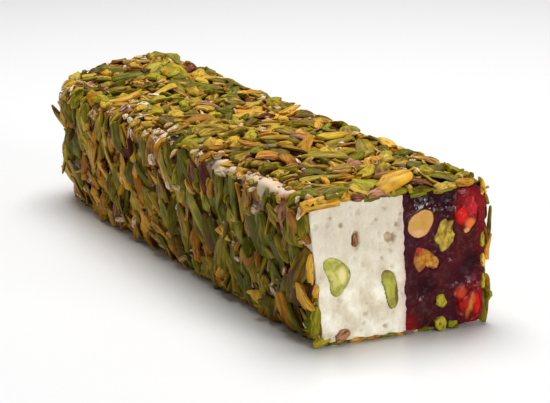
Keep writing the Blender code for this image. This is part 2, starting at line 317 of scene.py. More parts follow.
def ring_points(corners, radii, counts):
    """Points round each section, as four runs that each go from the middle of one corner's arc to the next's.

    An arc is the unit spokes between its two tangent directions, times the corner's radius.
    """

    def arc(k, shares):
        spot = corners[:, k]
        back, ahead = unit(corners[:, k - 1] - spot), unit(corners[:, (k + 1) % 4] - spot)
        half = np.arccos(np.clip((back * ahead).sum(-1), -1, 1)) / 2
        reach = (radii[k] / np.tan(half))[:, None]
        centre = spot + unit(back + ahead) * (radii[k] / np.sin(half))[:, None]
        first, last = spot + back * reach - centre, spot + ahead * reach - centre
        mix = shares[None, :, None]
        return centre[:, None] + unit(first[:, None] * (1 - mix) + last[:, None] * mix) * radii[k]

    runs = []
    for k in range(4):
        leaving = arc(k, np.linspace(0.5, 1, ARC_STEPS + 1))
        arriving = arc((k + 1) % 4, np.linspace(0, 0.5, ARC_STEPS + 1))
        share = np.linspace(0, 1, counts[k] - 2 * ARC_STEPS + 1)[None, 1:-1, None]
        straight = leaving[:, -1:] * (1 - share) + arriving[:, :1] * share
        runs.append(np.concatenate([leaving, straight, arriving[:, :-1]], 1))
    return np.concatenate(runs, 1)


corners = layer_corners(np.array([CUT_Y]), "nougat")[0][0]
print("nougat section corners in mm:", (corners / MM).round(1).tolist())

# %% [markdown]
# The fine grid on the cut face is stretched between the four runs of the first ring. This is a Coons patch:
# each point blends the bottom and top runs, adds the blend of the left and right runs, and takes away the
# blend of the four corners, which would otherwise be counted twice.

# %% Build a layer's skin
CELL = 0.26 * MM
SHOWN_END = CUT_Y + 60 * MM  # up to here the rings are close enough to carry small lumps
FOLDS = [  # in the left side of the far end: height, half width and depth in mm
    (20.5, 3.2, 0.9),  # pinched at half height
    (11.0, 6.0, -1.2),  # swollen below that
    (0.0, 8.0, 5.0),  # tucked in at the ground
]
UNDERCUT = FOLDS[2][2] * MM
PINCH_START, PINCH_FULL = 55 * MM, 20 * MM


def stretch_grid(ring, across, upward):
    """A grid inside one ring: blend of bottom and top + blend of left and right - blend of the corners."""
    bottom = ring[: across + 1]
    right = ring[across : across + upward + 1]
    top = ring[across + upward : 2 * across + upward + 1][::-1]
    left = np.concatenate([ring[2 * across + upward :], ring[:1]])[::-1]
    u = np.linspace(0, 1, across + 1)[None, :, None]
    v = np.linspace(0, 1, upward + 1)[:, None, None]
    sides = (1 - v) * bottom[None] + v * top[None] + (1 - u) * left[:, None] + u * right[:, None]
    corners = (1 - v) * ((1 - u) * bottom[0] + u * bottom[-1]) + v * ((1 - u) * top[0] + u * top[-1])
    return (sides - corners).reshape(-1, 2)


def near_end(y):
    """0 along most of the bar, rising to 1 over the stretch where its far end was folded."""
    return smoothstep(-PINCH_START, -PINCH_FULL, y - COAT_HIGH.y)


def pinch_at(x, y, z):
    """How far the left side of the far end is drawn in: a sum of bells over the height, one for each fold."""
    depth = sum(deep * MM * np.exp(-(((z / MM - height) / wide) ** 2)) for height, wide, deep in FOLDS)
    return depth * near_end(y) * smoothstep(0, -8 * MM, x)


def split_wave(x, y, z):
    """Sideways waves of the seam between the layers, which fade out on both sides of it."""
    seam = MIDDLE_X + SPLIT_BOTTOM + (SPLIT_TOP - SPLIT_BOTTOM) * (z - NOUGAT_LOW.z) / CORE_HEIGHT
    spots = np.stack([np.zeros_like(x), y, z], -1)
    return 0.2 * MM * rough(spots, 1.4 * MM, 83) * np.exp(-(((x - seam) / (2 * MM)) ** 2))


def layer_skin(name, layer, width, face_depth, side_swell):
    """A closed layer: a cut face pushed in by face_depth(x, z), rings pushed out by side_swell, and a cap."""
    across, upward = round(width / CELL), round(CORE_HEIGHT / CELL)
    straight_end = BACK_Y - TIP_LENGTH
    near = CUT_Y + np.array([0, 0.12, 0.35, 0.8, 1.5]) * MM
    shown = np.arange(CUT_Y + 2.4 * MM, SHOWN_END, 1.0 * MM)
    turned = straight_end + TIP_LENGTH * np.sin(np.linspace(0, math.pi / 2, 20)[1:-1])
    stations = np.concatenate([near, shown, np.linspace(SHOWN_END, straight_end, 40), turned])
    rings = ring_points(*layer_corners(stations, layer), (across, upward, across, upward))
    y = np.broadcast_to(stations[:, None], rings.shape[:2])
    points = np.stack([rings[..., 0], y, rings[..., 1]], -1)
    tangent = np.roll(rings, -1, 1) - np.roll(rings, 1, 1)
    outward = unit(np.stack([tangent[..., 1], np.zeros_like(y), -tangent[..., 0]], -1))
    swell = side_swell(points, outward) * smoothstep(0, 1.2 * MM, y - CUT_Y)
    points = points + outward * swell[..., None]

    x, z = stretch_grid(rings[0], across, upward).T
    depth = face_depth(x, z)
    back_x, back_z = stretch_grid(points[-1][:, [0, 2]], across, upward).T
    middle = points[1:-1].reshape(-1, 3)
    everything = np.concatenate([
        np.column_stack([x, CUT_Y + depth, z]), middle,
        np.column_stack([back_x, np.full(len(back_x), stations[-1]), back_z]),
    ])
    everything[:, 0] += split_wave(*everything.T)
    everything[:, 2] += crown_at(*everything.T)

    cells = np.arange(len(x)).reshape(upward + 1, across + 1)
    border = np.concatenate([cells[0, :-1], cells[:-1, -1], cells[-1, :0:-1], cells[:0:-1, 0]])
    back_start = len(x) + len(middle)
    between_them = np.arange(len(x), back_start).reshape(len(stations) - 2, -1)
    walls = join_rings(np.concatenate([border[None], between_them, back_start + border[None]]))
    face = np.stack([cells[:-1, :-1], cells[:-1, 1:], cells[1:, 1:], cells[1:, :-1]], -1).reshape(-1, 4)
    pit = np.concatenate([depth, np.zeros(len(everything) - len(x))]) / MM
    return make_object(name, everything, [face, walls, face[:, ::-1] + back_start], point_values={"pit": pit})


print("a cut face is drawn in cells of", round(CELL / MM, 2), "mm")

# %% [markdown]
# Nougat is whipped sugar and egg white, so a cut through it is matt and full of air holes. A few are wide
# and deep, most are pin pricks. The knife also drags it into faint waves. Where slivers are missing, mostly
# along the top left edge, the soft nougat has bulged out between them.

# %% The nougat layer
POCKET = 1.5 * MM
BULGE = 0.45 * MM
WIDE_PITS = [  # x, z, half width, half height and depth in mm
    (-15.6, 30.1, 0.6, 0.7, 0.8),
    (-11.6, 26.4, 1.1, 2.2, 1.2),
    (-2.4, 25.6, 1.5, 1.6, 1.3),
    (-0.4, 28.7, 0.7, 0.8, 0.8),
    (0.4, 31.4, 0.5, 0.7, 0.5),
    (-4.4, 20.8, 0.5, 0.7, 0.6),
    (-8.6, 9.9, 0.7, 0.4, 0.4),
    (-3.5, 3.4, 0.8, 0.9, 0.9),
    (-6.1, 30.5, 0.5, 0.5, 0.5),
    (-18.5, 32.4, 0.5, 0.4, 0.5),
]
BARE_SPOTS = {  # distance from the cut, place across and radius in mm
    "left": [(14.0, 36.2, 2.0), (25.5, 35.4, 3.2), (28.5, 32.4, 2.8), (36.0, 36.0, 2.4), (57.8, 26.1, 1.3),
             (48.0, 36.0, 1.8), (57.0, 35.5, 2.2), (68.0, 33.5, 1.6), (88.8, 23.1, 1.6), (98.0, 35.0, 2.2),
             (107.4, 20.1, 1.4), (128.0, 31.0, 2.0), (150.0, 24.0, 1.6), (173.6, 12.1, 2.0)],
    "top": [(15.0, -22.8, 2.2), (20.5, -23.4, 1.8), (25.5, -23.0, 2.6), (30.5, -23.2, 2.2), (36.5, -22.8, 2.4),
            (47.0, -23.2, 1.8), (52.0, -23.4, 1.8), (57.0, -22.8, 2.4), (88.0, -23.0, 2.0), (97.0, -22.6, 2.6),
            (104.0, -23.2, 1.8), (140.0, -21.0, 2.0), (149.0, -19.8, 1.8), (161.0, -19.0, 2.0),
            (172.0, -18.6, 2.4), (184.0, -17.0, 2.8), (1.5, 21.6, 2.6)],
}


def pocket_depth(x, z, layer, wall):
    """Depth of a layer's hollows for nuts: POCKET inside this share of each rim, with a steep wall."""
    nearest = np.min([share_of_rim(outline, x, z) for outline in OUTLINES[layer].values()], axis=0)
    return POCKET * smoothstep(wall, wall - 0.1, nearest)


def nougat_face(x, z):
    """Knife waves + pin-prick pores + wide pits + pockets, all as depth into the face."""
    spots = np.column_stack([x, np.zeros(len(x)), z])
    depth = 0.12 * MM * rough(spots, 3.0 * MM, 11) + 0.07 * MM * rough(spots * (1, 1, 0.3), 0.9 * MM, 15)
    depth += 0.5 * pores(x, z, 1.9 * MM, 0.3, 21) + 0.5 * pores(x, z, 0.9 * MM, 0.25, 22)
    for at_x, at_z, half_width, half_height, deep in WIDE_PITS:
        away = np.hypot((x / MM - at_x) / half_width, (z / MM - at_z) / half_height)
        away += 0.35 * noise(spots, 0.7 * MM, 31)
        depth += deep * MM * smoothstep(1.15, 0.35, away)
    return depth + pocket_depth(x, z, "nougat", 0.96)


def nougat_swell(points, outward):
    """Soft lumps, the folds at the far end, and bulges at the bare spots."""
    swell = 0.3 * MM * rough(points, 4.0 * MM, 41)
    swell = swell - pinch_at(*np.moveaxis(points, -1, 0)) * (outward[..., 0] < -0.3)
    lumps = 0.8 + 0.9 * rough(points, 2.2 * MM, 43)
    for side, axis, facing in (("left", 2, -outward[..., 0]), ("top", 0, outward[..., 2])):
        facing = smoothstep(0.2, 0.7, facing)
        for along, across, radius in BARE_SPOTS[side]:
            away = np.hypot(points[..., 1] - CUT_Y - along * MM, points[..., axis] - across * MM)
            swell = swell + BULGE * smoothstep(1.35, 0.85, away / (radius * MM)) * facing * lumps
    return swell * (outward[..., 0] < 0.9)


nougat = layer_skin("nougat_body", "nougat", NOUGAT_HIGH.x - NOUGAT_LOW.x, nougat_face, nougat_swell)
print("nougat has", len(nougat.data.polygons), "faces")

# %% [markdown]
# The jelly is starch and pomegranate juice boiled until it holds a knife's edge. Its cut is smooth and wet,
# with a slow wave in it, and it is torn where the knife dragged a nut or a seed. A small lip stands up
# round each of them.

# %% The jelly layer
LIP, RIDGE = 0.22 * MM, 0.5 * MM
TORN_SPOTS = [  # x, z and radius in mm
    (5.6, 33.8, 2.0), (9.2, 32.4, 1.8), (14.2, 31.2, 1.9), (9.0, 21.8, 1.4), (18.6, 11.8, 1.5),
    (21.4, 10.8, 1.4), (14.4, 18.8, 1.0), (17.2, 35.0, 1.2), (6.2, 10.0, 1.0),
]


def jelly_face(x, z):
    """Slow waves + torn patches of sharp ridges + a lip round each nut + pockets."""
    spots = np.column_stack([x, np.zeros(len(x)), z])
    depth = 0.22 * MM * noise(spots, 5.5 * MM, 51) + 0.06 * MM * rough(spots, 1.6 * MM, 53)
    ridges = RIDGE * np.abs(rough(spots * (1, 1, 0.6), 0.9 * MM, 57))
    for at_x, at_z, radius in TORN_SPOTS:
        depth += ridges * np.exp(-(((x / MM - at_x) / radius) ** 2) - ((z / MM - at_z) / radius) ** 2)
    for outline in OUTLINES["jelly"].values():
        depth -= LIP * np.exp(-(((share_of_rim(outline, x, z) - 1.08) / 0.12) ** 2))
    return depth + pocket_depth(x, z, "jelly", 0.97)


def jelly_swell(points, outward):
    """Soft lumps, none on the side that lies against the nougat."""
    return 0.25 * MM * rough(points, 4.0 * MM, 61) * (outward[..., 0] > -0.9)


def wetness(x, y, z):
    """1 in the middle of each torn spot on the cut face, fading to a little, and 0 on the other sides."""
    wet = sum(np.exp(-(((x - at_x) ** 2 + (z - at_z) ** 2) / radius**2)) for at_x, at_z, radius in TORN_SPOTS)
    return np.clip(wet, 0.09, 1) * (y < CUT_Y / MM + 1.4)


jelly = layer_skin("jelly_body", "jelly", JELLY_HIGH.x - JELLY_LOW.x, jelly_face, jelly_swell)
mark(jelly.data, "wet", wetness(*(points_of(jelly).T / MM)))
print("jelly has", len(jelly.data.polygons), "faces")

# %% [markdown]
# ## Nuts and seeds in the cut
# Each is one closed sheet: rings that grow from the middle of its cut face to its rim, then shrink again
# behind the rim, deep in its pocket. The knife leaves a kernel flat, with the crease between its two halves
# still showing. It pushes a pomegranate seed out, so a seed stands proud and round.

# %% Build the nuts and seeds
FRONT_RINGS = np.linspace(0, 1, 23)[1:]
BACK_TURNS = np.linspace(0, math.pi / 2, 9)[1:-1]
CUT_LOOKS = {  # dome, roughness, its grain, how far the rim is sunk, then creases: x, z, angle, depth and width
    "kernel_wide": (0.10, 0.08, 1.2, 0.35, [(-17.4, 18.3, -62, 0.30, 0.35), (-19.0, 18.6, 35, 0.22, 0.5)]),
    "kernel_narrow": (0.02, 0.12, 0.8, 0.35, [(-2.6, 12.4, -76, 0.20, 0.4)]),
    "nut_round": (0.05, 0.14, 1.5, 0.0, [(6.4, 29.6, 15, 0.08, 0.9)]),
    "kernel_leaf": (0.15, 0.40, 1.0, 0.0, [(12.8, 24.6, 72, 0.5, 0.35), (13.8, 25.8, 20, 0.3, 0.3)]),
    "nut_broken": (0.10, 0.40, 1.1, 0.0, [(7.4, 19.0, -60, 0.5, 0.5), (8.4, 18.6, 10, 0.35, 0.5)]),
    "seed_upper": (0.45, 0.20, 1.5, -0.05, [(19.6, 28.0, 80, 0.2, 0.6)]),
    "seed_lower": (0.50, 0.26, 1.6, -0.05, [(18.0, 8.2, 40, 0.4, 0.5), (20.6, 6.0, 75, 0.2, 0.5)]),
}


def cut_front(x, z, share, look):
    """How far the cut stands out: a dome 1 - share^3, plus roughness, less a soft groove along each crease."""
    dome, roughness, grain_size, sunk, creases = look
    spots = np.stack([x, np.zeros_like(x), z], -1)
    height = dome * (1 - share**3) + roughness * rough(spots, grain_size * MM, 71)
    for at_x, at_z, angle, deep, width in creases:
        turn = math.radians(angle)
        off = (x / MM - at_x) * math.sin(turn) - (z / MM - at_z) * math.cos(turn)
        height = height - deep * np.exp(-((off / width) ** 2))
    return (height * smoothstep(1.0, 0.93, share) - sunk * smoothstep(0.93, 1.0, share)) * MM


def cut_piece_skin(name, outline, look, deep):
    """A closed nut: front rings of the rim's shape in proportion, then back rings round a quarter circle."""
    middle, angle, reach = rim_of(outline)
    ray = np.stack([np.cos(angle), np.sin(angle)], -1) * reach[:, None]
    front, back = FRONT_RINGS[:, None], BACK_TURNS[:, None]
    x, z = np.moveaxis(middle + np.concatenate([front, np.cos(back)])[..., None] * ray, -1, 0)
    y = np.full(x.shape, CUT_Y)
    y[: len(front)] -= cut_front(x[: len(front)], z[: len(front)], front, look)
    y[len(front) :] += deep * np.sin(back)
    tip_y = CUT_Y - cut_front(middle[:1], middle[1:], np.zeros(1), look)[0]
    tips = [(middle[0], tip_y, middle[1]), (middle[0], CUT_Y + deep, middle[1])]
    points = np.concatenate([np.stack([x, y, z], -1).reshape(-1, 3), tips])
    rim = np.concatenate([FRONT_RINGS, np.ones(len(back))]).repeat(RIM_STEPS)
    return make_object(name, points, closed_rings(*x.shape), point_values={"rim": np.append(rim, [0, 1])})


def volume(thing):
    """Volume in cubic mm: the sum of a . (b x c) / 6 over all triangles. It is negative if the faces point in."""
    mesh = thing.data
    mesh.calc_loop_triangles()
    corner = np.empty(len(mesh.loop_triangles) * 3, np.int32)
    mesh.loop_triangles.foreach_get("vertices", corner)
    a, b, c = np.moveaxis(points_of(thing).astype(float)[corner.reshape(-1, 3)], 1, 0)
    return round(float((a * np.cross(b, c)).sum()) / 6 / MM**3)


cut_objects = {}
for layer, pieces in OUTLINES.items():
    for name, outline in pieces.items():
        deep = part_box(f"{layer}_{name}")[1].y - CUT_Y
        cut_objects[name] = cut_piece_skin(name, outline, CUT_LOOKS[name], deep)
for thing in (nougat, jelly, *cut_objects.values()):
    print(thing.name, "has", len(thing.data.polygons), "faces and holds", volume(thing), "cubic mm")

# %% [markdown]
# ## The coat of slivers
# Slivered pistachio is a kernel sliced thin along its length: a pointed oval, about 11 mm by 5 mm by 1 mm,
# flat on both faces, with a strip of green or purple skin round its edge. Nearly two thousand of them lie
# on the bar, two or three deep. Placing them by hand is hopeless and a simulation is slow, so they are
# dropped one by one on a map of heights. Each side of the bar is one map. A sliver tries a few places,
# takes the barest, and lies on what is there.

# %% Map each side of the bar
MAP_CELL = 0.5 * MM
FAR = 150 * MM
EDGE_SKIRT = 1.6 * MM
SKIRT_CELLS = 4
dependency_graph = bpy.context.evaluated_depsgraph_get()
dependency_graph.update()
BODY_TREES = [BVHTree.FromObject(thing, dependency_graph) for thing in (nougat, jelly)]


class Side:
    """A map of heights over one side of the bar. a runs along it, b across it, and heights point outwards."""

    def __init__(self, along, across, outward, a_range, b_range):
        self.along, self.across, self.outward = (np.array(v, float) for v in (along, across, outward))
        self.a, self.b = (np.arange(low + MAP_CELL / 2, high, MAP_CELL) for low, high in (a_range, b_range))
        self.base, self.beyond = self.measure()
        self.height = self.base.copy()
        self.usable = np.hypot(*np.gradient(self.base, MAP_CELL)) < 1.1
        self.closed = self.beyond.copy()

    def measure(self):
        """Casts a ray at the layers over each cell. A missed cell takes a neighbour's height, or lies beyond."""
        found = np.full((len(self.a), len(self.b)), np.nan)
        for i, j in np.ndindex(found.shape):
            start = Vector(self.a[i] * self.along + self.b[j] * self.across + FAR * self.outward)
            for tree in BODY_TREES:
                distance = tree.ray_cast(start, Vector(-self.outward))[3]
                if distance is not None:
                    found[i, j] = np.fmax(found[i, j], FAR - distance)
        beyond = np.zeros(found.shape, bool)
        for k in range(sum(found.shape)):
            padded = np.pad(found, 1, constant_values=np.nan)
            near = (padded[2:, 1:-1], padded[:-2, 1:-1], padded[1:-1, 2:], padded[1:-1, :-2])
            found = np.where(np.isnan(found), np.fmax.reduce(near), found)
            if k == SKIRT_CELLS:
                beyond = np.isnan(found)
        return found, beyond

    def cells(self, a, b):
        """Row and column of the cells under places a, b, kept inside the map."""
        places = ((a, self.a), (b, self.b))
        return tuple(np.clip(((v - m[0]) / MAP_CELL + 0.5).astype(int), 0, len(m) - 1) for v, m in places)


ALONG, ACROSS, UP = (0, 1, 0), (1, 0, 0), (0, 0, 1)
LENGTH_RANGE = (CUT_Y, BACK_Y - 0.5 * MM)
WALL_RANGE = (0.2 * MM, TOP_Z + 0.6 * MM)
END_RANGE = (NOUGAT_LOW.z, TOP_Z + 4 * MM)
CORE_LEFT, CORE_RIGHT = NOUGAT_LOW.x, JELLY_HIGH.x
SIDES = {
    "under": Side(ALONG, ACROSS, (0, 0, -1), LENGTH_RANGE, (CORE_LEFT + 2 * MM, CORE_RIGHT)),
    "far_end": Side(ACROSS, UP, ALONG, (CORE_LEFT + 4 * MM, CORE_RIGHT - 4 * MM), END_RANGE),
    "left": Side(ALONG, UP, (-1, 0, 0), LENGTH_RANGE, WALL_RANGE),
    "right": Side(ALONG, UP, ACROSS, LENGTH_RANGE, WALL_RANGE),
    "top": Side(ALONG, ACROSS, UP, LENGTH_RANGE, (CORE_LEFT - EDGE_SKIRT, CORE_RIGHT + EDGE_SKIRT)),
}
for name, spots in BARE_SPOTS.items():
    side = SIDES[name]
    grid = np.stack(np.meshgrid(side.a, side.b, [0.0], indexing="ij"), -1)[:, :, 0]
    ragged = 0.85 + 0.5 * noise(grid, 1.5 * MM, 91)
    for at, across, radius in spots:
        gap = np.hypot(side.a[:, None] - CUT_Y - at * MM, side.b[None, :] - across * MM)
        side.closed |= gap < radius * MM * ragged
for name, side in SIDES.items():
    print(name, "map", side.base.shape, "heights in mm", (np.percentile(side.base, (0, 50, 100)) / MM).round(1))

# %% [markdown]
# Four kinds of piece make the coat: green slivers, gold ones cut from riper kernels, loose flakes of skin,
# and the crumbs that fall off the knife. No two are alike, so each is drawn its own ends, bends and torn
# edges.

# %% The kinds of piece
KINDS = {  # ranges of length, width and thickness in mm, of how blunt its ends are, and of its curl in mm
    "green_slivers": ((7.5, 13.5), (3.2, 6.4), (0.85, 1.5), (0.34, 0.62), (-0.5, 0.8)),
    "gold_slivers": ((5.5, 11.5), (3.0, 6.2), (0.85, 1.4), (0.28, 0.6), (-0.5, 0.8)),
    "skin_flakes": ((5.0, 10.5), (2.0, 3.8), (0.28, 0.45), (0.3, 0.6), (0.2, 1.2)),
    "nut_crumbs": ((1.5, 4.6), (1.0, 2.6), (0.45, 1.0), (0.15, 0.5), (0.0, 0.1)),
}
PILE_LIMIT = 2.9 * MM
TILT = {"top": 0.12}  # elsewhere a fifth
LEAN = {"left": 0.2, "right": 0.2}
BROKEN_SHARE = {"top": 0.6}  # elsewhere a third
TRIES = 12
SINK = 0.12 * MM
OVERHANG = (0.4 * MM, 0.6 * MM)  # how far a piece may reach past its side, along it and across
BROKEN_LENGTH = (0.45, 0.75)
WIDEST = 0.75  # of the length
laid = []


def between(rng, limits, count=None):
    """Even random numbers between two limits."""
    return limits[0] + (limits[1] - limits[0]) * rng.random(count)


def chance_shape(kind, rng):
    """What makes a piece its own: ends, curl, bow, twist, skew, taper, chopped ends, torn edges and tone."""
    blunts, curls = KINDS[kind][3:]
    return {
        "blunt": between(rng, blunts), "curl": between(rng, curls) * MM, "bow": 0.5 * MM * rng.normal(),
        "twist": 0.2 * rng.normal(), "skew": 0.25 * rng.normal(), "taper": 0.25 * rng.normal(),
        "chop": np.maximum(0.0, between(rng, (-0.35, 0.4), 2)), "torn": 0.07 + 0.22 * rng.random() ** 2,
        "tone": rng.random(), "proud": None, "skin": None,
    }


def lay(kind, spot, axis, normal, size, shape):
    """Notes a piece: its middle, the way it runs, squared to the way it faces, its size and its shape."""
    axis = unit(axis - normal * (axis @ normal))
    laid.append({"kind": kind, "spot": spot, "axis": axis, "normal": normal,
                 **dict(zip(("length", "width", "thick"), size)), **shape})


print("kinds of piece:", list(KINDS))

# %% [markdown]
# Dropping one piece takes four steps. A few places and turns are drawn, and the barest is kept. A flat
# plate is fitted to the heights under the piece's outline by least squares. The plate is raised until
# little of the pile pokes through it. Last, the map is raised to the piece's own top, so that the next
# piece lies on it.

# %% Drop pieces on a map


def pick_place(side, rng, length, width, turn_mean, turn_spread, stretch):
    """The barest of a few random places and turns, or None where none is allowed."""
    a = side.a[0] + (side.a[-1] - side.a[0]) * between(rng, stretch, TRIES)
    b = between(rng, (side.b[0], side.b[-1]), TRIES)
    turn = turn_mean + turn_spread * rng.normal(size=TRIES)
    steps = np.array([-0.48, -0.25, 0.0, 0.25, 0.48])[None, :, None] * length
    sides = np.array([-0.35, 0.35])[None, None, :] * width
    cos, sin = np.cos(turn)[:, None, None], np.sin(turn)[:, None, None]
    at_a = a[:, None, None] + steps * cos - sides * sin
    at_b = b[:, None, None] + steps * sin + sides * cos
    under = side.cells(at_a, at_b)
    barred = ~side.usable[side.cells(a, b)] | side.closed[under].any((1, 2))
    for at, places, reach in zip((at_a, at_b), (side.a, side.b), OVERHANG):
        barred |= np.maximum(at - places[-1], places[0] - at).max((1, 2)) > reach
    score = np.where(barred, np.inf, (side.height - side.base)[under].mean((1, 2)))
    best = int(np.argmin(score))
    return (a[best], b[best], turn[best]) if np.isfinite(score[best]) else None


def rest_on(side, a, b, turn, length, width, thick, tilt):
    """Fits a plate under the piece, tilts it, lifts it clear and raises the map. Gives its height and slopes."""

    def window(places, at):
        """The cells that lie within half the piece's length of its middle."""
        return slice(*np.clip(np.searchsorted(places, (at - length / 2, at + length / 2)), 0, len(places)))

    rows, columns = window(side.a, a), window(side.b, b)
    off_a, off_b = np.meshgrid(side.a[rows] - a, side.b[columns] - b, indexing="ij")
    u = (off_a * math.cos(turn) + off_b * math.sin(turn)) / (length / 2)
    v = (-off_a * math.sin(turn) + off_b * math.cos(turn)) / (width / 2)
    under = np.abs(v) < np.sqrt(np.clip(1 - u * u, 0, 1))
    if under.sum() < 3:
        under = np.hypot(u, v) < 3
    below = side.height[rows, columns]
    plate = np.column_stack([np.ones(under.sum()), off_a[under], off_b[under]])
    level, slope_a, slope_b = np.linalg.lstsq(plate, below[under], rcond=None)[0]
    slope_a, slope_b = np.clip((slope_a, slope_b), -1, 1) + tilt
    poke = below[under] - level - slope_a * off_a[under] - slope_b * off_b[under]
    level += np.quantile(poke, 0.8) - SINK
    top = level + slope_a * off_a + slope_b * off_b + thick * np.clip(1.15 - np.abs(v) ** 3, 0, 1)
    if (top - side.base[rows, columns])[under].mean() > PILE_LIMIT:
        return None
    side.height[rows, columns] = np.where(under, np.maximum(below, top), below)
    return level, slope_a, slope_b


def drop(name, kind, count, rng, turn_mean=0.0, turn_spread=9.0, stretch=(0.0, 1.0)):
    """Lays up to count pieces of one kind on one side, and gives how many found a place."""
    side, before = SIDES[name], len(laid)
    for _ in range(count):
        length, width, thick = (between(rng, limits) * MM for limits in KINDS[kind][:3])
        if rng.random() < BROKEN_SHARE.get(name, 0.35):
            length *= between(rng, BROKEN_LENGTH)
        width = min(width, WIDEST * length)
        place = pick_place(side, rng, length, width, turn_mean, turn_spread, stretch)
        if place is None:
            continue
        tilt = TILT.get(name, 0.2) * rng.normal(size=2) + (LEAN.get(name, 0.0), 0.0)
        plate = rest_on(side, *place, length, width, thick, tilt)
        if plate is None:
            continue
        a, b, turn = place
        level, slope_a, slope_b = plate
        normal = unit(side.outward - slope_a * side.along - slope_b * side.across)
        axis = math.cos(turn) * side.along + math.sin(turn) * side.across
        spot = a * side.along + b * side.across + (level + thick / 2) * side.outward
        shape = chance_shape(kind, rng)
        # On the left side the green slivers grow darker towards the cut: partly darker slivers, partly painted
        # shade for the weaker light on the front of that side.
        if name == "left" and kind == "green_slivers":
            shape["tone"] *= 0.45 + 0.65 * (a - side.a[0]) / (side.a[-1] - side.a[0])
        lay(kind, spot, axis, normal, (length, width, thick), shape)
    return len(laid) - before


print("each piece tries", TRIES, "places")

# %% [markdown]
# Some slivers are laid one by one, because they were cut or pressed where everyone looks: round the rim of the
# cut face. Three green bits and two scraps of skin are stuck to the face itself. They all go down before
# the others, but the maps don't hold them.

# %% Lay the pieces round the cut
RIM_PIECES = [  # kind, x, depth and z, axis, facing, length, width and thickness in mm, tone, how proud
    ("gold_slivers", (-18.6, 1.1, 36.0), (1, 0.05, 0.03), (0, -0.6, 0.8), (15.0, 4.4, 1.3), 0.55, 0.5),
    ("skin_flakes", (-10.2, 0.5, 36.3), (1, 0, -0.1), (0.1, -0.8, 0.6), (4.6, 2.4, 0.7), 0.6, 0.5),
    ("green_slivers", (-6.6, 0.7, 36.1), (1, 0, 0.12), (0, -0.6, 0.8), (5.8, 3.0, 1.1), 0.25, 0.4),
    ("skin_flakes", (-3.8, 0.9, 36.9), (1, 0.2, 0.1), (0.1, -0.6, 0.8), (9.0, 3.4, 0.8), 0.95, 0.2),
    ("green_slivers", (0.2, 0.8, 36.6), (1, 0.05, 0.12), (0, -0.6, 0.8), (6.0, 2.8, 1.0), 0.5, 0.3),
    ("gold_slivers", (1.0, 3.2, 38.9), (1, 0.35, 0.12), (-0.1, -0.42, 0.9), (11.5, 6.0, 1.1), 0.62, 0.0),
    ("green_slivers", (6.8, 0.7, 36.0), (1, 0.1, 0.15), (0, -0.6, 0.8), (7.5, 3.0, 1.1), 0.45, 0.3),
    ("green_slivers", (13.2, 0.7, 36.3), (1, 0.05, 0.05), (0, -0.6, 0.8), (7.5, 3.2, 1.1), 0.7, 0.3),
    ("gold_slivers", (19.0, 0.7, 37.0), (1, 0.05, -0.05), (0, -0.6, 0.8), (5.5, 2.8, 1.0), 0.3, 0.3),
    ("gold_slivers", (-23.5, 0.5, 20.4), (0.03, 0, 1), (-0.7, -0.7, 0), (7.5, 2.2, 1.2), 0.78, 0.2),
    ("gold_slivers", (-22.0, 0.4, 14.4), (0.1, 0, 1), (-0.7, -0.7, 0), (4.0, 2.0, 1.1), 0.72, 0.2),
    ("green_slivers", (-22.2, 0.6, 6.6), (0.12, 0, 1), (-0.8, -0.6, 0), (8.5, 3.0, 1.2), 0.7, 0.3),
    ("green_slivers", (-20.6, 0.7, 1.5), (1, 0, 0.2), (-0.3, -0.8, 0.3), (4.8, 2.6, 1.2), 0.9, 0.6),
    ("green_slivers", (-16.2, 0.9, 0.7), (1, 0, 0.05), (0, -0.5, -0.8), (5.0, 2.4, 1.0), 0.35, 0.3),
    ("gold_slivers", (-11.0, 0.9, 0.8), (1, 0, -0.03), (0, -0.5, -0.8), (4.6, 2.4, 1.0), 0.7, 0.4),
    ("gold_slivers", (-6.8, 0.9, 0.7), (1, 0, 0.06), (0, -0.5, -0.8), (4.2, 2.2, 0.9), 0.4, 0.3),
    ("green_slivers", (-2.0, 0.9, 0.8), (1, 0, 0.04), (0, -0.5, -0.8), (5.2, 2.2, 0.9), 0.5, 0.3),
    ("skin_flakes", (3.0, 0.8, 0.9), (1, 0, 0.02), (0, -0.5, -0.8), (4.4, 2.0, 0.6), 0.9, 0.3),
    ("green_slivers", (8.0, 0.9, 0.8), (1, 0, 0.03), (0, -0.5, -0.8), (5.4, 2.2, 0.9), 0.3, 0.3),
    ("green_slivers", (12.1, -0.1, 7.9), (0.5, 0, 1), (0.1, -1, 0.2), (3.3, 2.9, 1.0), 0.92, 0.8),
    ("green_slivers", (11.9, -0.1, 2.1), (0.6, 0, 1), (-0.1, -1, 0.2), (3.6, 3.0, 1.1), 0.85, 0.9),
    ("green_slivers", (15.4, 0.0, 1.5), (1, 0, 0.1), (0.2, -1, 0.1), (3.4, 2.1, 1.0), 0.5, 0.7),
    ("green_slivers", (23.9, 0.5, 22.4), (0.1, 0, 1), (0.7, -0.7, 0), (4.6, 2.2, 1.2), 0.85, 0.4),
    ("gold_slivers", (24.1, 0.4, 17.0), (-0.1, 0, 1), (0.7, -0.7, 0), (3.6, 2.0, 1.1), 0.95, 0.4),
    ("green_slivers", (24.1, 0.5, 11.6), (0.1, 0, 1), (0.7, -0.7, 0), (4.4, 2.0, 1.2), 0.9, 0.4),
    ("skin_flakes", (-15.0, -0.02, 2.6), (1, 0, 0.35), (0.1, -1, 0.15), (4.8, 3.0, 0.6), 0.93, 0.5),
    ("skin_flakes", (-11.6, 0.5, 26.0), (0.15, 0, 1), (0.3, -0.95, 0), (3.4, 1.7, 0.5), 0.78, 0.0),
]
RIM_SHAPE = {"blunt": 0.38, "curl": 0.2 * MM, "bow": 0.2 * MM, "twist": 0.05, "skew": 0.2, "taper": 0.1,
             "chop": (0.08, 0.0)}

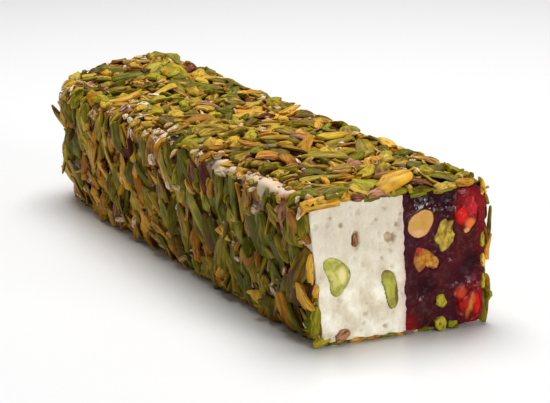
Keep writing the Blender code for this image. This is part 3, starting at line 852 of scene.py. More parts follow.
for kind, (x, deep, z), axis, facing, size, tone, proud in RIM_PIECES:
    spot = np.array([x * MM, CUT_Y + deep * MM, z * MM])
    shape = {"torn": 0.3 if x > 11 and z < 9 else 0.1, "tone": tone, "proud": proud * MM,
             "skin": 0.1 if kind == "green_slivers" else 0.5, **RIM_SHAPE}
    lay(kind, spot, np.array(axis), unit(facing), np.array(size) * MM, shape)
print("laid by hand:", len(laid))

# %% [markdown]
# Along its long edges the bar was turned over from one side to the next, and slivers were pressed round the
# corner there. The maps can't reach such a corner, since each looks at one side only. So a row of pieces is
# set along each edge, facing out between the two sides.

# %% Lay pieces along the edges
EDGES = [  # corner x and z, facing in x and z, how many
    (NOUGAT_LOW.x + 0.5 * MM, TOP_Z - 0.6 * MM, (-0.75, 0.65), 60),
    (JELLY_HIGH.x - 0.5 * MM, TOP_Z - 0.6 * MM, (0.75, 0.65), 60),
    (NOUGAT_LOW.x + LEFT_LEAN + 0.2 * MM, NOUGAT_LOW.z + 0.8 * MM, (-0.85, -0.5), 50),
    (JELLY_HIGH.x - RIGHT_LEAN - 0.2 * MM, NOUGAT_LOW.z + 0.8 * MM, (0.85, -0.5), 50),
]
EDGE_LENGTH, EDGE_WIDTH = 0.6, 0.42  # shares of a sliver's full length: how much is kept, and its widest
EDGE_CURL = 0.8 * MM


def near_bare_spot(along):
    """Whether a place along the top left edge lies in a spot that stays bare."""
    spots = [spot for spot in BARE_SPOTS["left"] if spot[1] > 32]
    spots += [spot for spot in BARE_SPOTS["top"] if spot[1] < 0]
    return any(abs(along - CUT_Y - at * MM) < (radius + 1.5) * MM for at, _, radius in spots)


def lay_edge(corner_x, corner_z, facing, count, rng):
    """A row of pieces that lean over an edge and follow it round the far end, each tipped and turned by chance.

    Where a side has drawn in by depth (1 - sqrt(1 - s^2)), it has turned by
    atan(depth / length * s / sqrt(1 - s^2)).
    """
    left, upper = corner_x < 0, facing[1] > 0
    inward = 1.0 if left else -1.0
    for k in range(count):
        kind = ("green_slivers", "green_slivers", "gold_slivers", "nut_crumbs")[rng.integers(4)]
        length, width, thick = (between(rng, limits) * MM for limits in KINDS[kind][:3])
        size = EDGE_LENGTH * length, min(width, EDGE_WIDTH * length), thick
        along = CUT_Y + (k + rng.random()) / count * (BACK_Y - 1.5 * MM - CUT_Y)
        if left and upper and near_bare_spot(along):
            continue
        share = max((along - BACK_Y) / TIP_LENGTH + 1, 0.0)
        turned = math.atan(TIP_DRAW / TIP_LENGTH * share / math.sqrt(1 - share**2))
        x = corner_x + inward * float(drawn_in(along, TIP_LENGTH, TIP_DRAW))
        z = corner_z + float(crown_at(x, along, TOP_Z)) if upper else corner_z
        if left and not upper:
            straightened = LEFT_LEAN_LOST * float(smoothstep(0, BAR_LENGTH, along - CUT_Y))
            x -= straightened - UNDERCUT * float(near_end(along))
        out = np.array([facing[0] * math.cos(turned), abs(facing[0]) * math.sin(turned), facing[1]])
        normal = unit(out + (0, 0.25 * rng.normal(), 0) + 0.2 * rng.normal(size=3))
        turn = 0.9 * rng.normal()
        edge_line = np.array([inward * math.sin(turned), math.cos(turned), 0.0])
        axis = edge_line * math.sin(turn) + np.cross(normal, edge_line) * math.cos(turn)
        spot = np.array([x, along, z]) + normal * ((0.3 + 0.7 * rng.random()) * MM)
        lay(kind, spot, axis, normal, size, {**chance_shape(kind, rng), "curl": EDGE_CURL})


edge_rng = np.random.default_rng(5)
before = len(laid)
for edge in EDGES:
    lay_edge(*edge, edge_rng)
print("laid along the edges:", len(laid) - before)

# %% [markdown]
# The order matters as it does at the bench. Crumbs and small pieces stick first and hide most of the
# nougat. Slivers follow. On the long sides they stand nearly upright, because the bar was rolled across
# them. On the top they lie any way round. Loose skins go on between them, and a last pinch of crumbs comes
# on top.

# %% Lay the coat
UPRIGHT = math.radians(76)
COAT_PLAN = [  # side, first crumbs, green, gold, skins, last crumbs, mean turn, spread, where first golds lie
    ("under", 260, 340, 90, 20, 60, 0.0, 9.0, (0.0, 1.0)),
    ("far_end", 130, 90, 45, 12, 60, 1.4, 0.6, (0.0, 1.0)),
    ("left", 340, 310, 180, 48, 150, UPRIGHT, 0.28, (0.45, 1.0)),
    ("right", 340, 310, 180, 48, 150, math.pi - UPRIGHT, 0.28, (0.45, 1.0)),
    ("top", 400, 470, 230, 80, 480, 0.0, 9.0, (0.0, 1.0)),
]
BATCHES = 8
MORE_GREENS, NEAR_CUT = 36, (0.0, 0.22)  # on the left side, in this share of its length
PALE_CRUMBS = 80
rng = np.random.default_rng(20)
for name, first, green, gold, skins, last, turn_mean, turn_spread, stretch in COAT_PLAN:
    how = {"turn_mean": turn_mean, "turn_spread": turn_spread}
    taken = drop(name, "nut_crumbs", first, rng)
    taken += drop(name, "gold_slivers", gold // 2, rng, stretch=stretch, **how)
    for _ in range(BATCHES):
        for kind, count in (("green_slivers", green), ("gold_slivers", gold // 2), ("skin_flakes", skins)):
            taken += drop(name, kind, count // BATCHES, rng, **how)
    if name == "left":
        taken += drop(name, "green_slivers", MORE_GREENS, rng, stretch=NEAR_CUT, **how)
    taken += drop(name, "nut_crumbs", last, rng)
    pile = ((SIDES[name].height - SIDES[name].base) / MM)[SIDES[name].usable]
    print(name, "took", taken, "pieces, mean pile", round(float(pile.mean()), 2), "mm")
for name in BARE_SPOTS:
    SIDES[name].closed = SIDES[name].beyond
    placed = drop(name, "nut_crumbs", PALE_CRUMBS, rng)
    for piece in laid[-placed:]:
        piece["tone"] = 0.5 + 0.5 * piece["tone"]
    print(name, "took", placed, "pale crumbs, some on its bare spots")

# %% [markdown]
# All pieces of one kind are one mesh. The same few rings and poles are bent to every piece's own size at
# once, in one array of (pieces, rings, points round each ring). Two values are kept with each point for the
# finish: a tone, which picks the piece's colour, and how much skin it carries. The knife cut the coat too,
# so what stands past the cut is pressed back flush, and the underside is pressed flat.

# %% Shape the pieces
SLIVER_RINGS = np.array([0.03, 0.14, 0.36, 0.63, 0.86, 0.97])
SLIVER_SECTION = np.array([(-1, 0), (-0.8, -0.8), (0, -1), (0.8, -0.8), (1, 0), (0.8, 0.8), (0, 1),
                           (-0.8, 0.8)])
CRUMB_RINGS = np.array([0.15, 0.5, 0.85])
CRUMB_SECTION = np.array([(-1, 0), (-0.6, -0.9), (0.6, -0.8), (1, 0), (0.7, 0.9), (-0.5, 0.9)])
LAST_EDGE = 0.3 * MM  # a few slivers still hang this far past the cut
SHARP_ANGLE = math.radians(50)


def gather(kind, key):
    """One value of every laid piece of a kind, as an array, in which a missing value is NaN."""
    return np.array([piece[key] for piece in laid if piece["kind"] == kind], float)


def press(value, limit, give):
    """Leaves values below a limit, and squeezes what is past it into the space that gives."""
    return np.where(value < limit, value, limit + give * np.tanh((value - limit) / give))


def shape_pieces(kind, ring_shares, section, rng):
    """All pieces of a kind: half width = sin(pi u)^blunt, bowed, curled, twisted, skewed, then laid in place.

    A chopped end skips a share of the sine, so that it is square. Torn edges wander, each by itself.
    """
    keys = ("length", "width", "thick", "blunt", "curl", "bow", "twist", "skew", "taper", "torn")
    length, width, thick, blunt, curl, bow, twist, skew, taper, torn = (
        gather(kind, key)[:, None, None] for key in keys
    )
    count, rings, around = len(length), len(ring_shares), len(section)
    u = ring_shares[None, :, None]
    middle = 1 - (2 * u - 1) ** 2
    start, stop = gather(kind, "chop").T[:, :, None, None]
    whole = np.sin(math.pi * (start + u * (1 - start - stop)))
    wander = 1 + torn * rng.normal(size=(count, rings, 2))
    b = section[:, 0] * whole**blunt * np.where(section[:, 0] < 0, wander[..., :1], wander[..., 1:]) * width / 2
    c = section[:, 1] * whole**0.3 * thick / 2 * (1 + 0.12 * rng.normal(size=(count, rings, around)))
    turn = twist * (2 * u - 1)
    b, c = b * np.cos(turn) - c * np.sin(turn), b * np.sin(turn) + c * np.cos(turn)
    a = (u - 0.5) * length + (skew + taper * (2 * u - 1)) * b
    body = np.stack([a, b + bow * middle, c + curl * (middle - 0.5)], -1).reshape(count, rings * around, 3)
    tips = np.concatenate([np.concatenate([end * length / 2, 0 * length, -curl / 2], -1) for end in (-1, 1)], 1)
    axis, normal = gather(kind, "axis"), gather(kind, "normal")
    frame_of_piece = np.stack([axis, np.cross(normal, axis), normal], 1)
    points = gather(kind, "spot")[:, None] + np.concatenate([body, tips], 1) @ frame_of_piece
    proud = gather(kind, "proud")[:, None]
    past = np.where(np.isnan(proud), LAST_EDGE * rng.random((count, 1)) ** 3, proud)
    points[..., 1] = np.maximum(points[..., 1], CUT_Y - past)
    points[..., 2] = press(np.maximum(points[..., 2], 0.0), COAT_HIGH.z, 1.0 * MM)
    points[..., 0] = press(points[..., 0], COAT_HIGH.x, 1.3 * MM)
    points[..., 0] = -press(-points[..., 0], -COAT_LOW.x, 1.3 * MM)

    quads, fans = closed_rings(rings, around)
    per_piece = rings * around + 2
    shift = (np.arange(count) * per_piece)[:, None, None]
    faces = [(quads[:, [0, 3, 2, 1]] + shift).reshape(-1, 4), (fans[:, [0, 2, 1]] + shift).reshape(-1, 3)]
    across = np.append(np.tile(section[:, 0], rings), [0, 0])
    lengthwise = np.append(np.repeat(ring_shares, around), [0, 1])
    uv = np.tile(np.stack([lengthwise, across * 0.5 + 0.5], -1), (count, 1))
    skin = gather(kind, "skin")
    skin = np.where(np.isnan(skin), rng.random(count), skin)
    values = {"tone": np.repeat(gather(kind, "tone"), per_piece), "skin": np.repeat(skin, per_piece)}
    return make_object(kind, points, faces, uv, values)


coat = {}
for kind in KINDS:
    small = kind == "nut_crumbs"
    rings, section = (CRUMB_RINGS, CRUMB_SECTION) if small else (SLIVER_RINGS, SLIVER_SECTION)
    coat[kind] = shape_pieces(kind, rings, section, rng)
    coat[kind].data.set_sharp_from_angle(angle=SHARP_ANGLE)
    faces = len(coat[kind].data.polygons)
    print(kind, len(gather(kind, "length")), "pieces", faces, "faces", volume(coat[kind]), "cubic mm")

# %% [markdown]
# ## Finishes
# Every finish is a Principled shader whose colour, roughness and bump come from patterns. Three effects
# turn up in several of them, so each is a node group made once: grain, a noise that can be drawn out into
# fibres, flecks, which are hard-edged specks, and a soft spot, one blurred patch at a chosen place.

# %% Helpers for shader nodes


def linear(colour):
    """A colour given as it looks on screen, from 0 to 255, as the linear values that shaders use."""
    share = np.array(colour) / 255
    value = np.where(share <= 0.04045, share / 12.92, ((share + 0.055) / 1.055) ** 2.4)
    return (*value.tolist(), 1.0)


class Nodes:
    """Builds a tree of shader nodes. Every input takes either a value or the socket that feeds it."""

    def __init__(self, tree):
        self.tree = tree

    def feed(self, socket, value):
        """Gives an input a value, or links the socket that feeds it."""
        if isinstance(value, bpy.types.NodeSocket):
            self.tree.links.new(value, socket)
        else:
            socket.default_value = value

    def add(self, kind, inputs=None, **settings):
        """Adds a node, changes its settings, feeds its inputs, and gives its outputs."""
        made = self.tree.nodes.new("ShaderNode" + kind)
        for key, value in settings.items():
            setattr(made, key, value)
        for key, value in (inputs or {}).items():
            self.feed(made.inputs[key], value)
        return made.outputs

    def maths(self, operation, *values, clamp=False):
        """A maths node on one or two values or sockets."""
        return self.add("Math", dict(enumerate(values)), operation=operation, use_clamp=clamp)[0]

    def times(self, first, second, clamp=False):
        """The product of two values."""
        return self.maths("MULTIPLY", first, second, clamp=clamp)

    def remap(self, value, low, high, new_low=0.0, new_high=1.0):
        """Stretches low..high to new_low..new_high with level ends, and holds it there outside."""
        inputs = {"Value": value, 1: low, 2: high, 3: new_low, 4: new_high}
        return self.add("MapRange", inputs, interpolation_type="SMOOTHSTEP")[0]

    def mix(self, factor, first, second, mode="MIX"):
        """Mixes two colours by a factor. A colour of three numbers is one as it looks on screen."""
        pair = [linear(colour) if isinstance(colour, tuple) and len(colour) == 3 else colour
                for colour in (first, second)]
        return self.add("Mix", {0: factor, 6: pair[0], 7: pair[1]}, data_type="RGBA", blend_type=mode)[2]

    def ramp(self, value, stops):
        """A colour that changes with a value through (place, colour) stops."""
        made = self.add("ValToRGB", {0: value})[0]
        points = made.node.color_ramp.elements
        while len(points) < len(stops):
            points.new(0.5)
        for point, (place, colour) in zip(points, stops):
            point.position, point.color = place, linear(colour)
        return made

    def read(self, attribute):
        """A value kept with each point of the mesh."""
        return self.add("Attribute", attribute_name=attribute)["Fac"]

    def use(self, effect, **inputs):
        """Places one of the shared effects, and gives its outputs."""
        return self.add("Group", inputs, node_tree=effect)

    def spot(self, place, deep, x, z, half_width, half_height):
        """The mask of one soft spot on the cut face, all in mm."""
        middle, reach = (x * MM, CUT_Y, z * MM), (half_width * MM, deep * MM, half_height * MM)
        return self.use(soft_spot, Vector=place, Middle=middle, Reach=reach)["Mask"]


print("a mid grey on screen is", round(linear((128, 128, 128))[0], 3), "in a shader")

# %% [markdown]
# A finish is one material. Its shader takes a plain value where that is the same all over, and nodes where
# it isn't. An effect is a group of nodes with named sockets, so that many finishes can share it.

# %% Helpers for finishes and effects


class Finish(Nodes):
    """A material: its Principled shader, and the nodes that feed it."""

    def __init__(self, name, **shader_values):
        self.material = bpy.data.materials.new(name)
        self.material.use_nodes = True
        super().__init__(self.material.node_tree)
        self.inputs = self.tree.nodes["Principled BSDF"].inputs
        for key, value in shader_values.items():
            self.inputs[key.replace("_", " ")].default_value = value

    def show(self, colour, height, strength, distance):
        """Feeds the colour and a bump to the shader, and gives the finished material."""
        self.feed(self.inputs["Base Color"], colour)
        bump = self.add("Bump", {"Height": height, "Strength": strength, "Distance": distance})
        self.feed(self.inputs["Normal"], bump[0])
        return self.material


def new_effect(name, inputs, outputs):
    """An empty node group with named sockets. An input is a number, or a vector where no number is given."""
    tree = bpy.data.node_groups.new(name, "ShaderNodeTree")
    for label, value in inputs.items():
        kind = "NodeSocketVector" if value is None else "NodeSocketFloat"
        socket = tree.interface.new_socket(label, in_out="INPUT", socket_type=kind)
        if value is not None:
            socket.default_value = value
    for label in outputs:
        tree.interface.new_socket(label, in_out="OUTPUT", socket_type="NodeSocketFloat")
    return Nodes(tree), tree.nodes.new("NodeGroupInput").outputs, tree.nodes.new("NodeGroupOutput").inputs


print("a finish feeds a", bpy.types.ShaderNodeBsdfPrincipled.bl_rna.name)

# %% Grain, flecks and soft spots, the shared effects
nodes, given, result = new_effect(
    "grain", {"Vector": None, "Scale": 100.0, "Detail": 3.0, "Low": 0.8, "High": 1.1}, ("Height", "Shade")
)
height = nodes.add("TexNoise", {key: given[key] for key in ("Vector", "Scale", "Detail")})[0]
shade = nodes.add("MapRange", {"Value": height, 1: 0.3, 2: 0.7, 3: given["Low"], 4: given["High"]})[0]
nodes.feed(result["Height"], height)
nodes.feed(result["Shade"], shade)
grain = nodes.tree

nodes, given, result = new_effect(
    "flecks", {"Vector": None, "Scale": 300.0, "Threshold": 0.6, "Softness": 0.05}, ("Mask",)
)
height = nodes.add("TexNoise", {"Vector": given["Vector"], "Scale": given["Scale"], "Detail": 2.0})[0]
top = nodes.maths("ADD", given["Threshold"], given["Softness"])
nodes.feed(result["Mask"], nodes.add("MapRange", {"Value": height, 1: given["Threshold"], 2: top})[0])
flecks = nodes.tree

nodes, given, result = new_effect("soft_spot", {"Vector": None, "Middle": None, "Reach": None}, ("Mask",))
offset = nodes.add("VectorMath", {0: given["Vector"], 1: given["Middle"]}, operation="SUBTRACT")[0]
share = nodes.add("VectorMath", {0: offset, 1: given["Reach"]}, operation="DIVIDE")[0]
length = nodes.add("VectorMath", {0: share}, operation="LENGTH")["Value"]
nodes.feed(result["Mask"], nodes.remap(length, 1.0, 0.2))
soft_spot = nodes.tree
print("shared effects:", grain.name, flecks.name, "and", soft_spot.name)

# %% [markdown]
# Nougat is a warm white that lets a little light in. Its pores are painted darker, as painted shade, there are
# small brown specks of nut in it, and a breath of pink where the jelly has bled into it. Towards the top of
# the cut it is painted darker, as painted shade under the overhanging coat, and behind the cut it is warmer.

# %% Nougat finish


def nougat_finish():
    """Cream with soft cloudy shades, painted shade in the pores and towards the top, specks, and pink along the
    jelly.
    """
    finish = Finish(
        "nougat", Roughness=0.7, Specular_IOR_Level=0.2, Subsurface_Weight=0.3, Subsurface_Scale=0.001,
        Subsurface_Radius=(1.0, 0.8, 0.55),
    )
    place = finish.add("TexCoord")["Object"]
    across, along, high = finish.add("SeparateXYZ", {0: place})
    cloud = finish.use(grain, Vector=place, Scale=200.0, Detail=6.0, Low=-0.1, High=1.1)["Shade"]
    colour = finish.mix(cloud, (208, 194, 164), (255, 250, 233))
    # painted shade: darker towards the top of the cut, under the overhanging coat and away from the light off the
    # table
    colour = finish.mix(finish.times(finish.remap(high, 8 * MM, 30 * MM), 0.75), colour, (204, 193, 172))
    # painted shade in the pores, darkest where they are deepest
    colour = finish.mix(finish.remap(finish.read("pit"), 0.12, 0.9, 0.0, 0.75), colour, (168, 146, 116))
    specks = finish.use(flecks, Vector=place, Scale=420.0, Threshold=0.68, Softness=0.06)["Mask"]
    colour = finish.mix(finish.times(specks, 0.3), colour, (176, 150, 122))
    stain = finish.remap(across, MIDDLE_X - 0.6 * MM, MIDDLE_X + 2.0 * MM, 0.0, 0.4)
    colour = finish.mix(stain, colour, (196, 150, 150))
    behind = finish.remap(along, CUT_Y + 0.6 * MM, CUT_Y + 2 * MM)
    colour = finish.mix(finish.times(behind, 0.5), colour, (236, 196, 158))
    fine = finish.use(grain, Vector=place, Scale=1500.0, Detail=3.0)["Height"]
    return finish.show(colour, fine, 0.5, 0.35 * MM)


nougat.data.materials.append(nougat_finish())
print("nougat finished with", nougat.data.materials[0].name)

# %% [markdown]
# Pomegranate jelly is nearly black where it is thick. Red painted glow, light as if through thin jelly, lies
# along its edges, low down by the nougat and round the seeds. Its skin is wet, so a clear coat carries the
# highlights.

# %% Jelly finish
# The first colour is painted glow: bright red patches that stand in for light shining through the jelly.
PAINTED_GLOW, DEEP = (166, 20, 26), (24, 9, 14)
JELLY_SPOTS = [  # x, z, half width and half height in mm, strength, colour
    (2.5, 1.0, 5.0, 7.0, 0.4, PAINTED_GLOW),
    (19.2, 31.5, 5.5, 7.0, 0.75, PAINTED_GLOW),
    (24.0, 32.0, 2.5, 8.0, 0.35, PAINTED_GLOW),
    (21.5, 6.5, 5.5, 8.5, 0.55, PAINTED_GLOW),
    (23.6, 22.0, 3.0, 12.0, 0.2, PAINTED_GLOW),
    (7.0, 34.5, 9.0, 5.0, 0.7, DEEP),
    (14.0, 34.0, 4.5, 7.0, 0.7, DEEP),
    (8.0, 12.0, 5.0, 4.0, 0.7, DEEP),
    (21.0, 17.5, 4.5, 4.5, 0.7, DEEP),
]
JELLY_SPOT_DEPTH = 12


def jelly_finish():
    """Very dark red with brighter clouds, darker spots and patches of painted glow, under a wet clear coat."""
    finish = Finish(
        "jelly", Roughness=0.4, Specular_IOR_Level=0.02, Subsurface_Weight=0.08, Subsurface_Scale=0.002,
        Subsurface_Radius=(1.0, 0.15, 0.1), Coat_Roughness=0.06,
    )
    place = finish.add("TexCoord")["Object"]
    cloud = finish.use(grain, Vector=place, Scale=190.0, Detail=4.0, Low=0.0, High=1.0)["Shade"]
    colour = finish.mix(cloud, (44, 13, 18), (84, 24, 22))
    broad = finish.use(grain, Vector=place, Scale=90.0, Detail=2.0, Low=-0.4, High=0.9)["Shade"]
    colour = finish.mix(finish.times(broad, 0.7, clamp=True), colour, (60, 18, 36))
    for *oval, strength, shade in JELLY_SPOTS:
        mask = finish.spot(place, JELLY_SPOT_DEPTH, *oval)
        colour = finish.mix(finish.times(mask, strength), colour, shade)
    streaks = finish.use(flecks, Vector=place, Scale=900.0, Threshold=0.52, Softness=0.03)["Mask"]
    shine = finish.times(finish.times(finish.read("wet"), streaks), 1.6, clamp=True)
    finish.feed(finish.inputs["Coat Weight"], finish.maths("ADD", shine, 0.015))
    fine = finish.use(grain, Vector=place, Scale=800.0, Detail=3.0)["Height"]
    return finish.show(colour, fine, 0.7, 0.5 * MM)


jelly.data.materials.append(jelly_finish())
print("jelly finished with", jelly.data.materials[0].name)

# %% [markdown]
# A kernel cut across is palest in the middle and green towards its rim, where a dark line of skin runs
# round it. Nuts that have sat in the jelly are tan to orange. Seeds are clear red with the pale pip showing
# through.

# %% Finishes for the nuts and seeds
NUT_SPOT_DEPTH = 9
NUT_FINISHES = {  # colours of middle, outer part and skin, where the skin starts, roughness, then spots
    "kernel_wide": ((202, 194, 106), (156, 156, 56), (126, 112, 44), 0.88, 0.55, [
        (-15.4, 17.6, 2.2, 4.0, (226, 212, 142)),
        (-18.8, 20.4, 2.2, 2.6, (164, 166, 62)),
        # painted shade along the kernel's right side
        (-12.9, 18.8, 1.3, 4.4, (112, 90, 36)),
        (-14.6, 21.6, 2.6, 1.4, (124, 110, 44)),
    ]),
    "kernel_narrow": ((170, 168, 60), (146, 138, 46), (112, 96, 38), 0.82, 0.55, [
        (-2.6, 13.0, 1.2, 4.0, (182, 184, 70)),
        # painted shade along the kernel's right side
        (-0.4, 12.0, 1.0, 7.0, (104, 86, 34)),
        (-3.0, 17.6, 1.8, 1.2, (104, 88, 36)),
    ]),
    "nut_round": ((194, 146, 60), (200, 152, 80), (124, 80, 42), 0.92, 0.5, [
        (7.4, 30.2, 2.6, 2.0, (190, 140, 52)),
        (5.6, 25.8, 3.0, 1.8, (212, 162, 112)),
    ]),
    "nut_broken": ((190, 132, 40), (156, 98, 30), (150, 56, 28), 0.86, 0.4, [
        (5.6, 21.6, 2.4, 2.6, (176, 54, 26)),
        (8.6, 17.6, 1.6, 1.4, (206, 150, 60)),
    ]),
    "kernel_leaf": ((194, 168, 62), (146, 120, 34), (104, 74, 26), 0.9, 0.45, []),
}
SEED_STOPS = [(0.0, (168, 24, 16)), (0.5, (134, 14, 11)), (0.95, (92, 8, 9))]
SEED_SPOTS = [  # x, z, half width and half height in mm, colour, as in the nuts' spots
    (17.6, 29.0, 2.8, 3.8, (206, 22, 12)),
    (20.8, 30.6, 2.8, 3.2, (184, 30, 42)),
    (19.8, 33.0, 3.0, 1.8, (160, 20, 28)),
    (20.2, 26.8, 2.9, 2.4, (214, 114, 46)),
    (19.3, 24.9, 1.7, 1.6, (214, 152, 98)),
    (17.5, 9.2, 2.6, 2.3, (184, 60, 22)),
    (22.2, 6.0, 2.0, 5.2, (198, 20, 10)),
    (21.0, 7.6, 1.3, 2.6, (180, 96, 34)),
    (19.5, 3.9, 1.2, 2.6, (160, 84, 30)),
    (20.3, 5.8, 1.4, 3.0, (182, 118, 46)),
]


def paint_spots(finish, place, colour, spots, patchiness):
    """Lays blurred spots of colour over a base colour, each broken up by the patchiness."""
    for *oval, shade in spots:
        mask = finish.spot(place, NUT_SPOT_DEPTH, *oval)
        strength = finish.times(finish.remap(finish.maths("ADD", mask, patchiness), 0.2, 0.9), mask)
        colour = finish.mix(strength, colour, shade)
    return colour


def nut_finish(name, middle, outer, skin, rim_from, roughness, spots):
    """Colour from the middle to the rim, mottled, with spots, some of its own colour and some of painted shade,
    and a line of skin round the rim.
    """
    finish = Finish(
        name, Roughness=roughness, Specular_IOR_Level=0.25, Subsurface_Weight=0.15, Subsurface_Scale=0.001
    )
    place, rim = finish.add("TexCoord")["Object"], finish.read("rim")
    cloud = finish.use(grain, Vector=place, Scale=560.0, Detail=4.0, Low=-0.6, High=0.6)["Shade"]
    colour = finish.mix(finish.remap(finish.maths("ADD", rim, cloud), 0.2, 1.0), middle, outer)
    colour = paint_spots(finish, place, colour, spots, finish.times(cloud, 0.4))
    ragged = finish.maths("ADD", rim, finish.times(cloud, 0.06))
    colour = finish.mix(finish.remap(ragged, rim_from, 0.98), colour, skin)
    fine = finish.use(grain, Vector=place, Scale=900.0, Detail=3.0)["Height"]
    return finish.show(colour, fine, 0.45, 0.4 * MM)


def seed_finish():
    """Clear red, darker towards the rim, with a lit spot wherever the pip or thin flesh shows through."""
    finish = Finish(
        "pomegranate_seed", Roughness=0.3, Specular_IOR_Level=0.04, Subsurface_Weight=0.3,
        Subsurface_Scale=0.0012, Subsurface_Radius=(1.0, 0.2, 0.1), Coat_Weight=0.12, Coat_Roughness=0.05,
    )
    place = finish.add("TexCoord")["Object"]
    cloud = finish.use(grain, Vector=place, Scale=330.0, Detail=3.0, Low=-0.5, High=0.5)["Shade"]
    colour = finish.ramp(finish.maths("ADD", finish.read("rim"), cloud), SEED_STOPS)
    colour = paint_spots(finish, place, colour, SEED_SPOTS, finish.times(cloud, 0.5))
    fine = finish.use(grain, Vector=place, Scale=800.0, Detail=2.0)["Height"]
    return finish.show(colour, fine, 0.3, 0.3 * MM)


piece_finish = {name: nut_finish(name, *look) for name, look in NUT_FINISHES.items()}
piece_finish["seed_upper"] = piece_finish["seed_lower"] = seed_finish()
for name, thing in cut_objects.items():
    thing.data.materials.append(piece_finish[name])
print("finished", len(cut_objects), "nuts and seeds")

# %% [markdown]
# No two slivers are the same colour. Each has a tone from 0 to 1, which picks its colour from a run of
# greens, yellows and browns. Its fibres run along its length, so the grain is laid on its own map, where
# the first value runs from end to end. The second runs from edge to edge, and the skin is wherever that is
# near 0 or 1.

# %% Coat finishes
COAT_FINISHES = {  # material, colours along the tone, colour of edges, share with skin, roughness, tint of some
    "green_slivers": (
        "sliver_green",
        [(0.0, (94, 84, 17)), (0.25, (126, 112, 24)), (0.5, (158, 132, 33)), (0.75, (189, 156, 42)),
         (0.95, (212, 172, 58))],
        (82, 66, 20), 0.2, 0.42, (0.68, 0.9, 0.6),
    ),
    "gold_slivers": (
        "sliver_gold",
        [(0.0, (160, 106, 25)), (0.35, (191, 138, 33)), (0.7, (212, 164, 50)), (0.95, (224, 178, 70))],
        (136, 76, 26), 0.12, 0.4, (1.0, 0.85, 0.7),
    ),
    "skin_flakes": (
        "skin_flake",
        [(0.0, (66, 34, 22)), (0.4, (92, 48, 32)), (0.7, (128, 76, 44)), (0.95, (182, 132, 98))],
        (58, 24, 26), 0.3, 0.45, (0.85, 0.72, 0.85),
    ),
    "nut_crumbs": (
        "nut_crumb",
        [(0.0, (132, 116, 34)), (0.3, (184, 150, 44)), (0.5, (208, 162, 56)), (0.7, (206, 142, 84)),
         (0.95, (246, 228, 202))],
        (160, 122, 72), 0.08, 0.5, (0.85, 0.95, 0.8),
    ),
}
PURPLE_SKIN = (92, 46, 34)


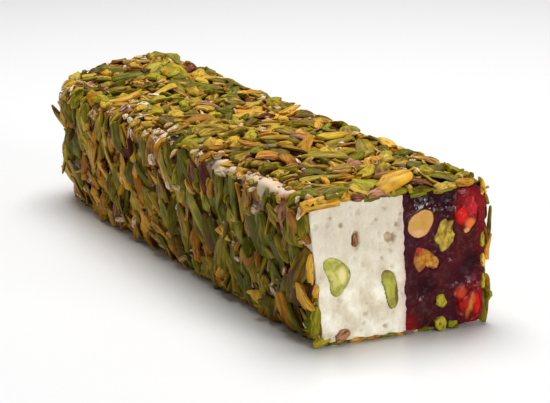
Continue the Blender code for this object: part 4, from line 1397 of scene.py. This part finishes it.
def coat_finish(name, stops, edge, skin_share, roughness, tint):
    """Tone picks the colour, some are tinted, fibres run lengthwise, edges are dark, some faces are skin."""
    finish = Finish(
        name, Roughness=roughness, Specular_IOR_Level=0.06, Subsurface_Weight=0.2, Subsurface_Scale=0.0006,
        Subsurface_Radius=(1.0, 0.8, 0.25),
    )
    lengthwise, across, _ = finish.add("SeparateXYZ", {0: finish.add("UVMap", uv_map="grain")[0]})
    tone, skin = finish.read("tone"), finish.read("skin")
    own_place = finish.add("CombineXYZ", {
        0: finish.times(lengthwise, 0.9), 1: finish.times(across, 1.6), 2: finish.times(tone, 60.0),
    })[0]
    drawn_out = finish.add("VectorMath", {0: own_place, 1: (1.0, 4.0, 1.0)}, operation="MULTIPLY")[0]
    fibre = finish.use(grain, Vector=drawn_out, Scale=2.6, Detail=3.0, Low=0.8, High=1.2)
    patch = finish.use(grain, Vector=own_place, Scale=2.6, Detail=3.0, Low=-0.4, High=0.4)["Shade"]
    from_middle = finish.maths("ABSOLUTE", finish.maths("SUBTRACT", across, 0.5))
    own_tone = finish.maths("ADD", tone, finish.remap(from_middle, 0.15, 0.45, -0.04, 0.06))
    colour = finish.ramp(finish.maths("ADD", own_tone, patch), stops)
    colour = finish.mix(1.0, colour, fibre["Shade"], "MULTIPLY")
    colour = finish.mix(finish.remap(skin, 0.15, 0.5, 1.0, 0.0), colour, (*tint, 1.0), "MULTIPLY")
    uneven = finish.maths("ADD", from_middle, finish.times(patch, 0.3))
    colour = finish.mix(finish.remap(uneven, 0.4, 0.5, 0.0, 0.7), colour, edge)
    mottle = finish.use(flecks, Vector=own_place, Scale=2.4, Threshold=0.4, Softness=0.22)["Mask"]
    skinned = finish.times(finish.remap(skin, 1 - skin_share, 1 - skin_share + 0.02), mottle)
    scraps = finish.use(flecks, Vector=own_place, Scale=3.4, Threshold=0.6, Softness=0.06)["Mask"]
    skinned = finish.maths("MAXIMUM", skinned, finish.times(scraps, 0.8))
    colour = finish.mix(finish.times(skinned, 0.85), colour, PURPLE_SKIN)
    return finish.show(colour, fibre["Height"], 0.35, 0.3 * MM)


for kind, look in COAT_FINISHES.items():
    coat[kind].data.materials.append(coat_finish(*look))
print("coat finishes:", [thing.data.materials[0].name for thing in coat.values()])

# %% [markdown]
# ## Table and light
# A plain white table, and two soft lamps as in a small studio: a large one overhead, a little behind the
# bar, and a low fill in front that lights the cut. The bar's long left side stays in shade.

# %% Lay the table and hang the lamps
bpy.ops.mesh.primitive_plane_add(size=8.0)
floor = bpy.context.object
floor.name = "table"
floor.data.materials.append(Finish("table_white", Roughness=0.35, Base_Color=(0.9, 0.9, 0.9, 1.0)).material)
LAMPS_FACE = Vector((0.0, 0.0, 0.015))


def lamp(name, spot, size, power):
    """A square soft lamp that faces the bar."""
    made = bpy.data.objects.new(name, bpy.data.lights.new(name, "AREA"))
    made.data.size = size
    made.data.energy = power
    made.location = spot
    made.rotation_euler = (LAMPS_FACE - Vector(spot)).to_track_quat("-Z", "Y").to_euler()
    bpy.context.scene.collection.objects.link(made)


lamp("overhead", (0.12, 0.25, 0.9), 0.7, 11.6)
lamp("fill", (0.3, -0.95, 0.22), 0.4, 5.2)
world = bpy.data.worlds.new("studio")
world.use_nodes = True
sky = world.node_tree.nodes["Background"].inputs
sky[0].default_value, sky[1].default_value = (1.0, 1.0, 1.0, 1.0), 0.16
bpy.context.scene.world = world
bpy.context.scene.view_settings.view_transform = "Standard"

# %% [markdown]
# ## The pieces on the solid model
# Each new piece rides on the bar's one body, and the solid that it stands for is hidden.

# %% Tie the pieces to the solid model
REPLACED = {"nougat_layer": nougat, "jelly_layer": jelly, "pistachio_coat": coat["green_slivers"]}
REPLACED.update({f"{layer}_{name}": cut_objects[name] for layer, pieces in OUTLINES.items() for name in pieces})
for node_name, thing in REPLACED.items():
    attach(thing, "root")
    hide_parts(node_name)
for kind in ("gold_slivers", "skin_flakes", "nut_crumbs"):
    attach(coat[kind], "root")
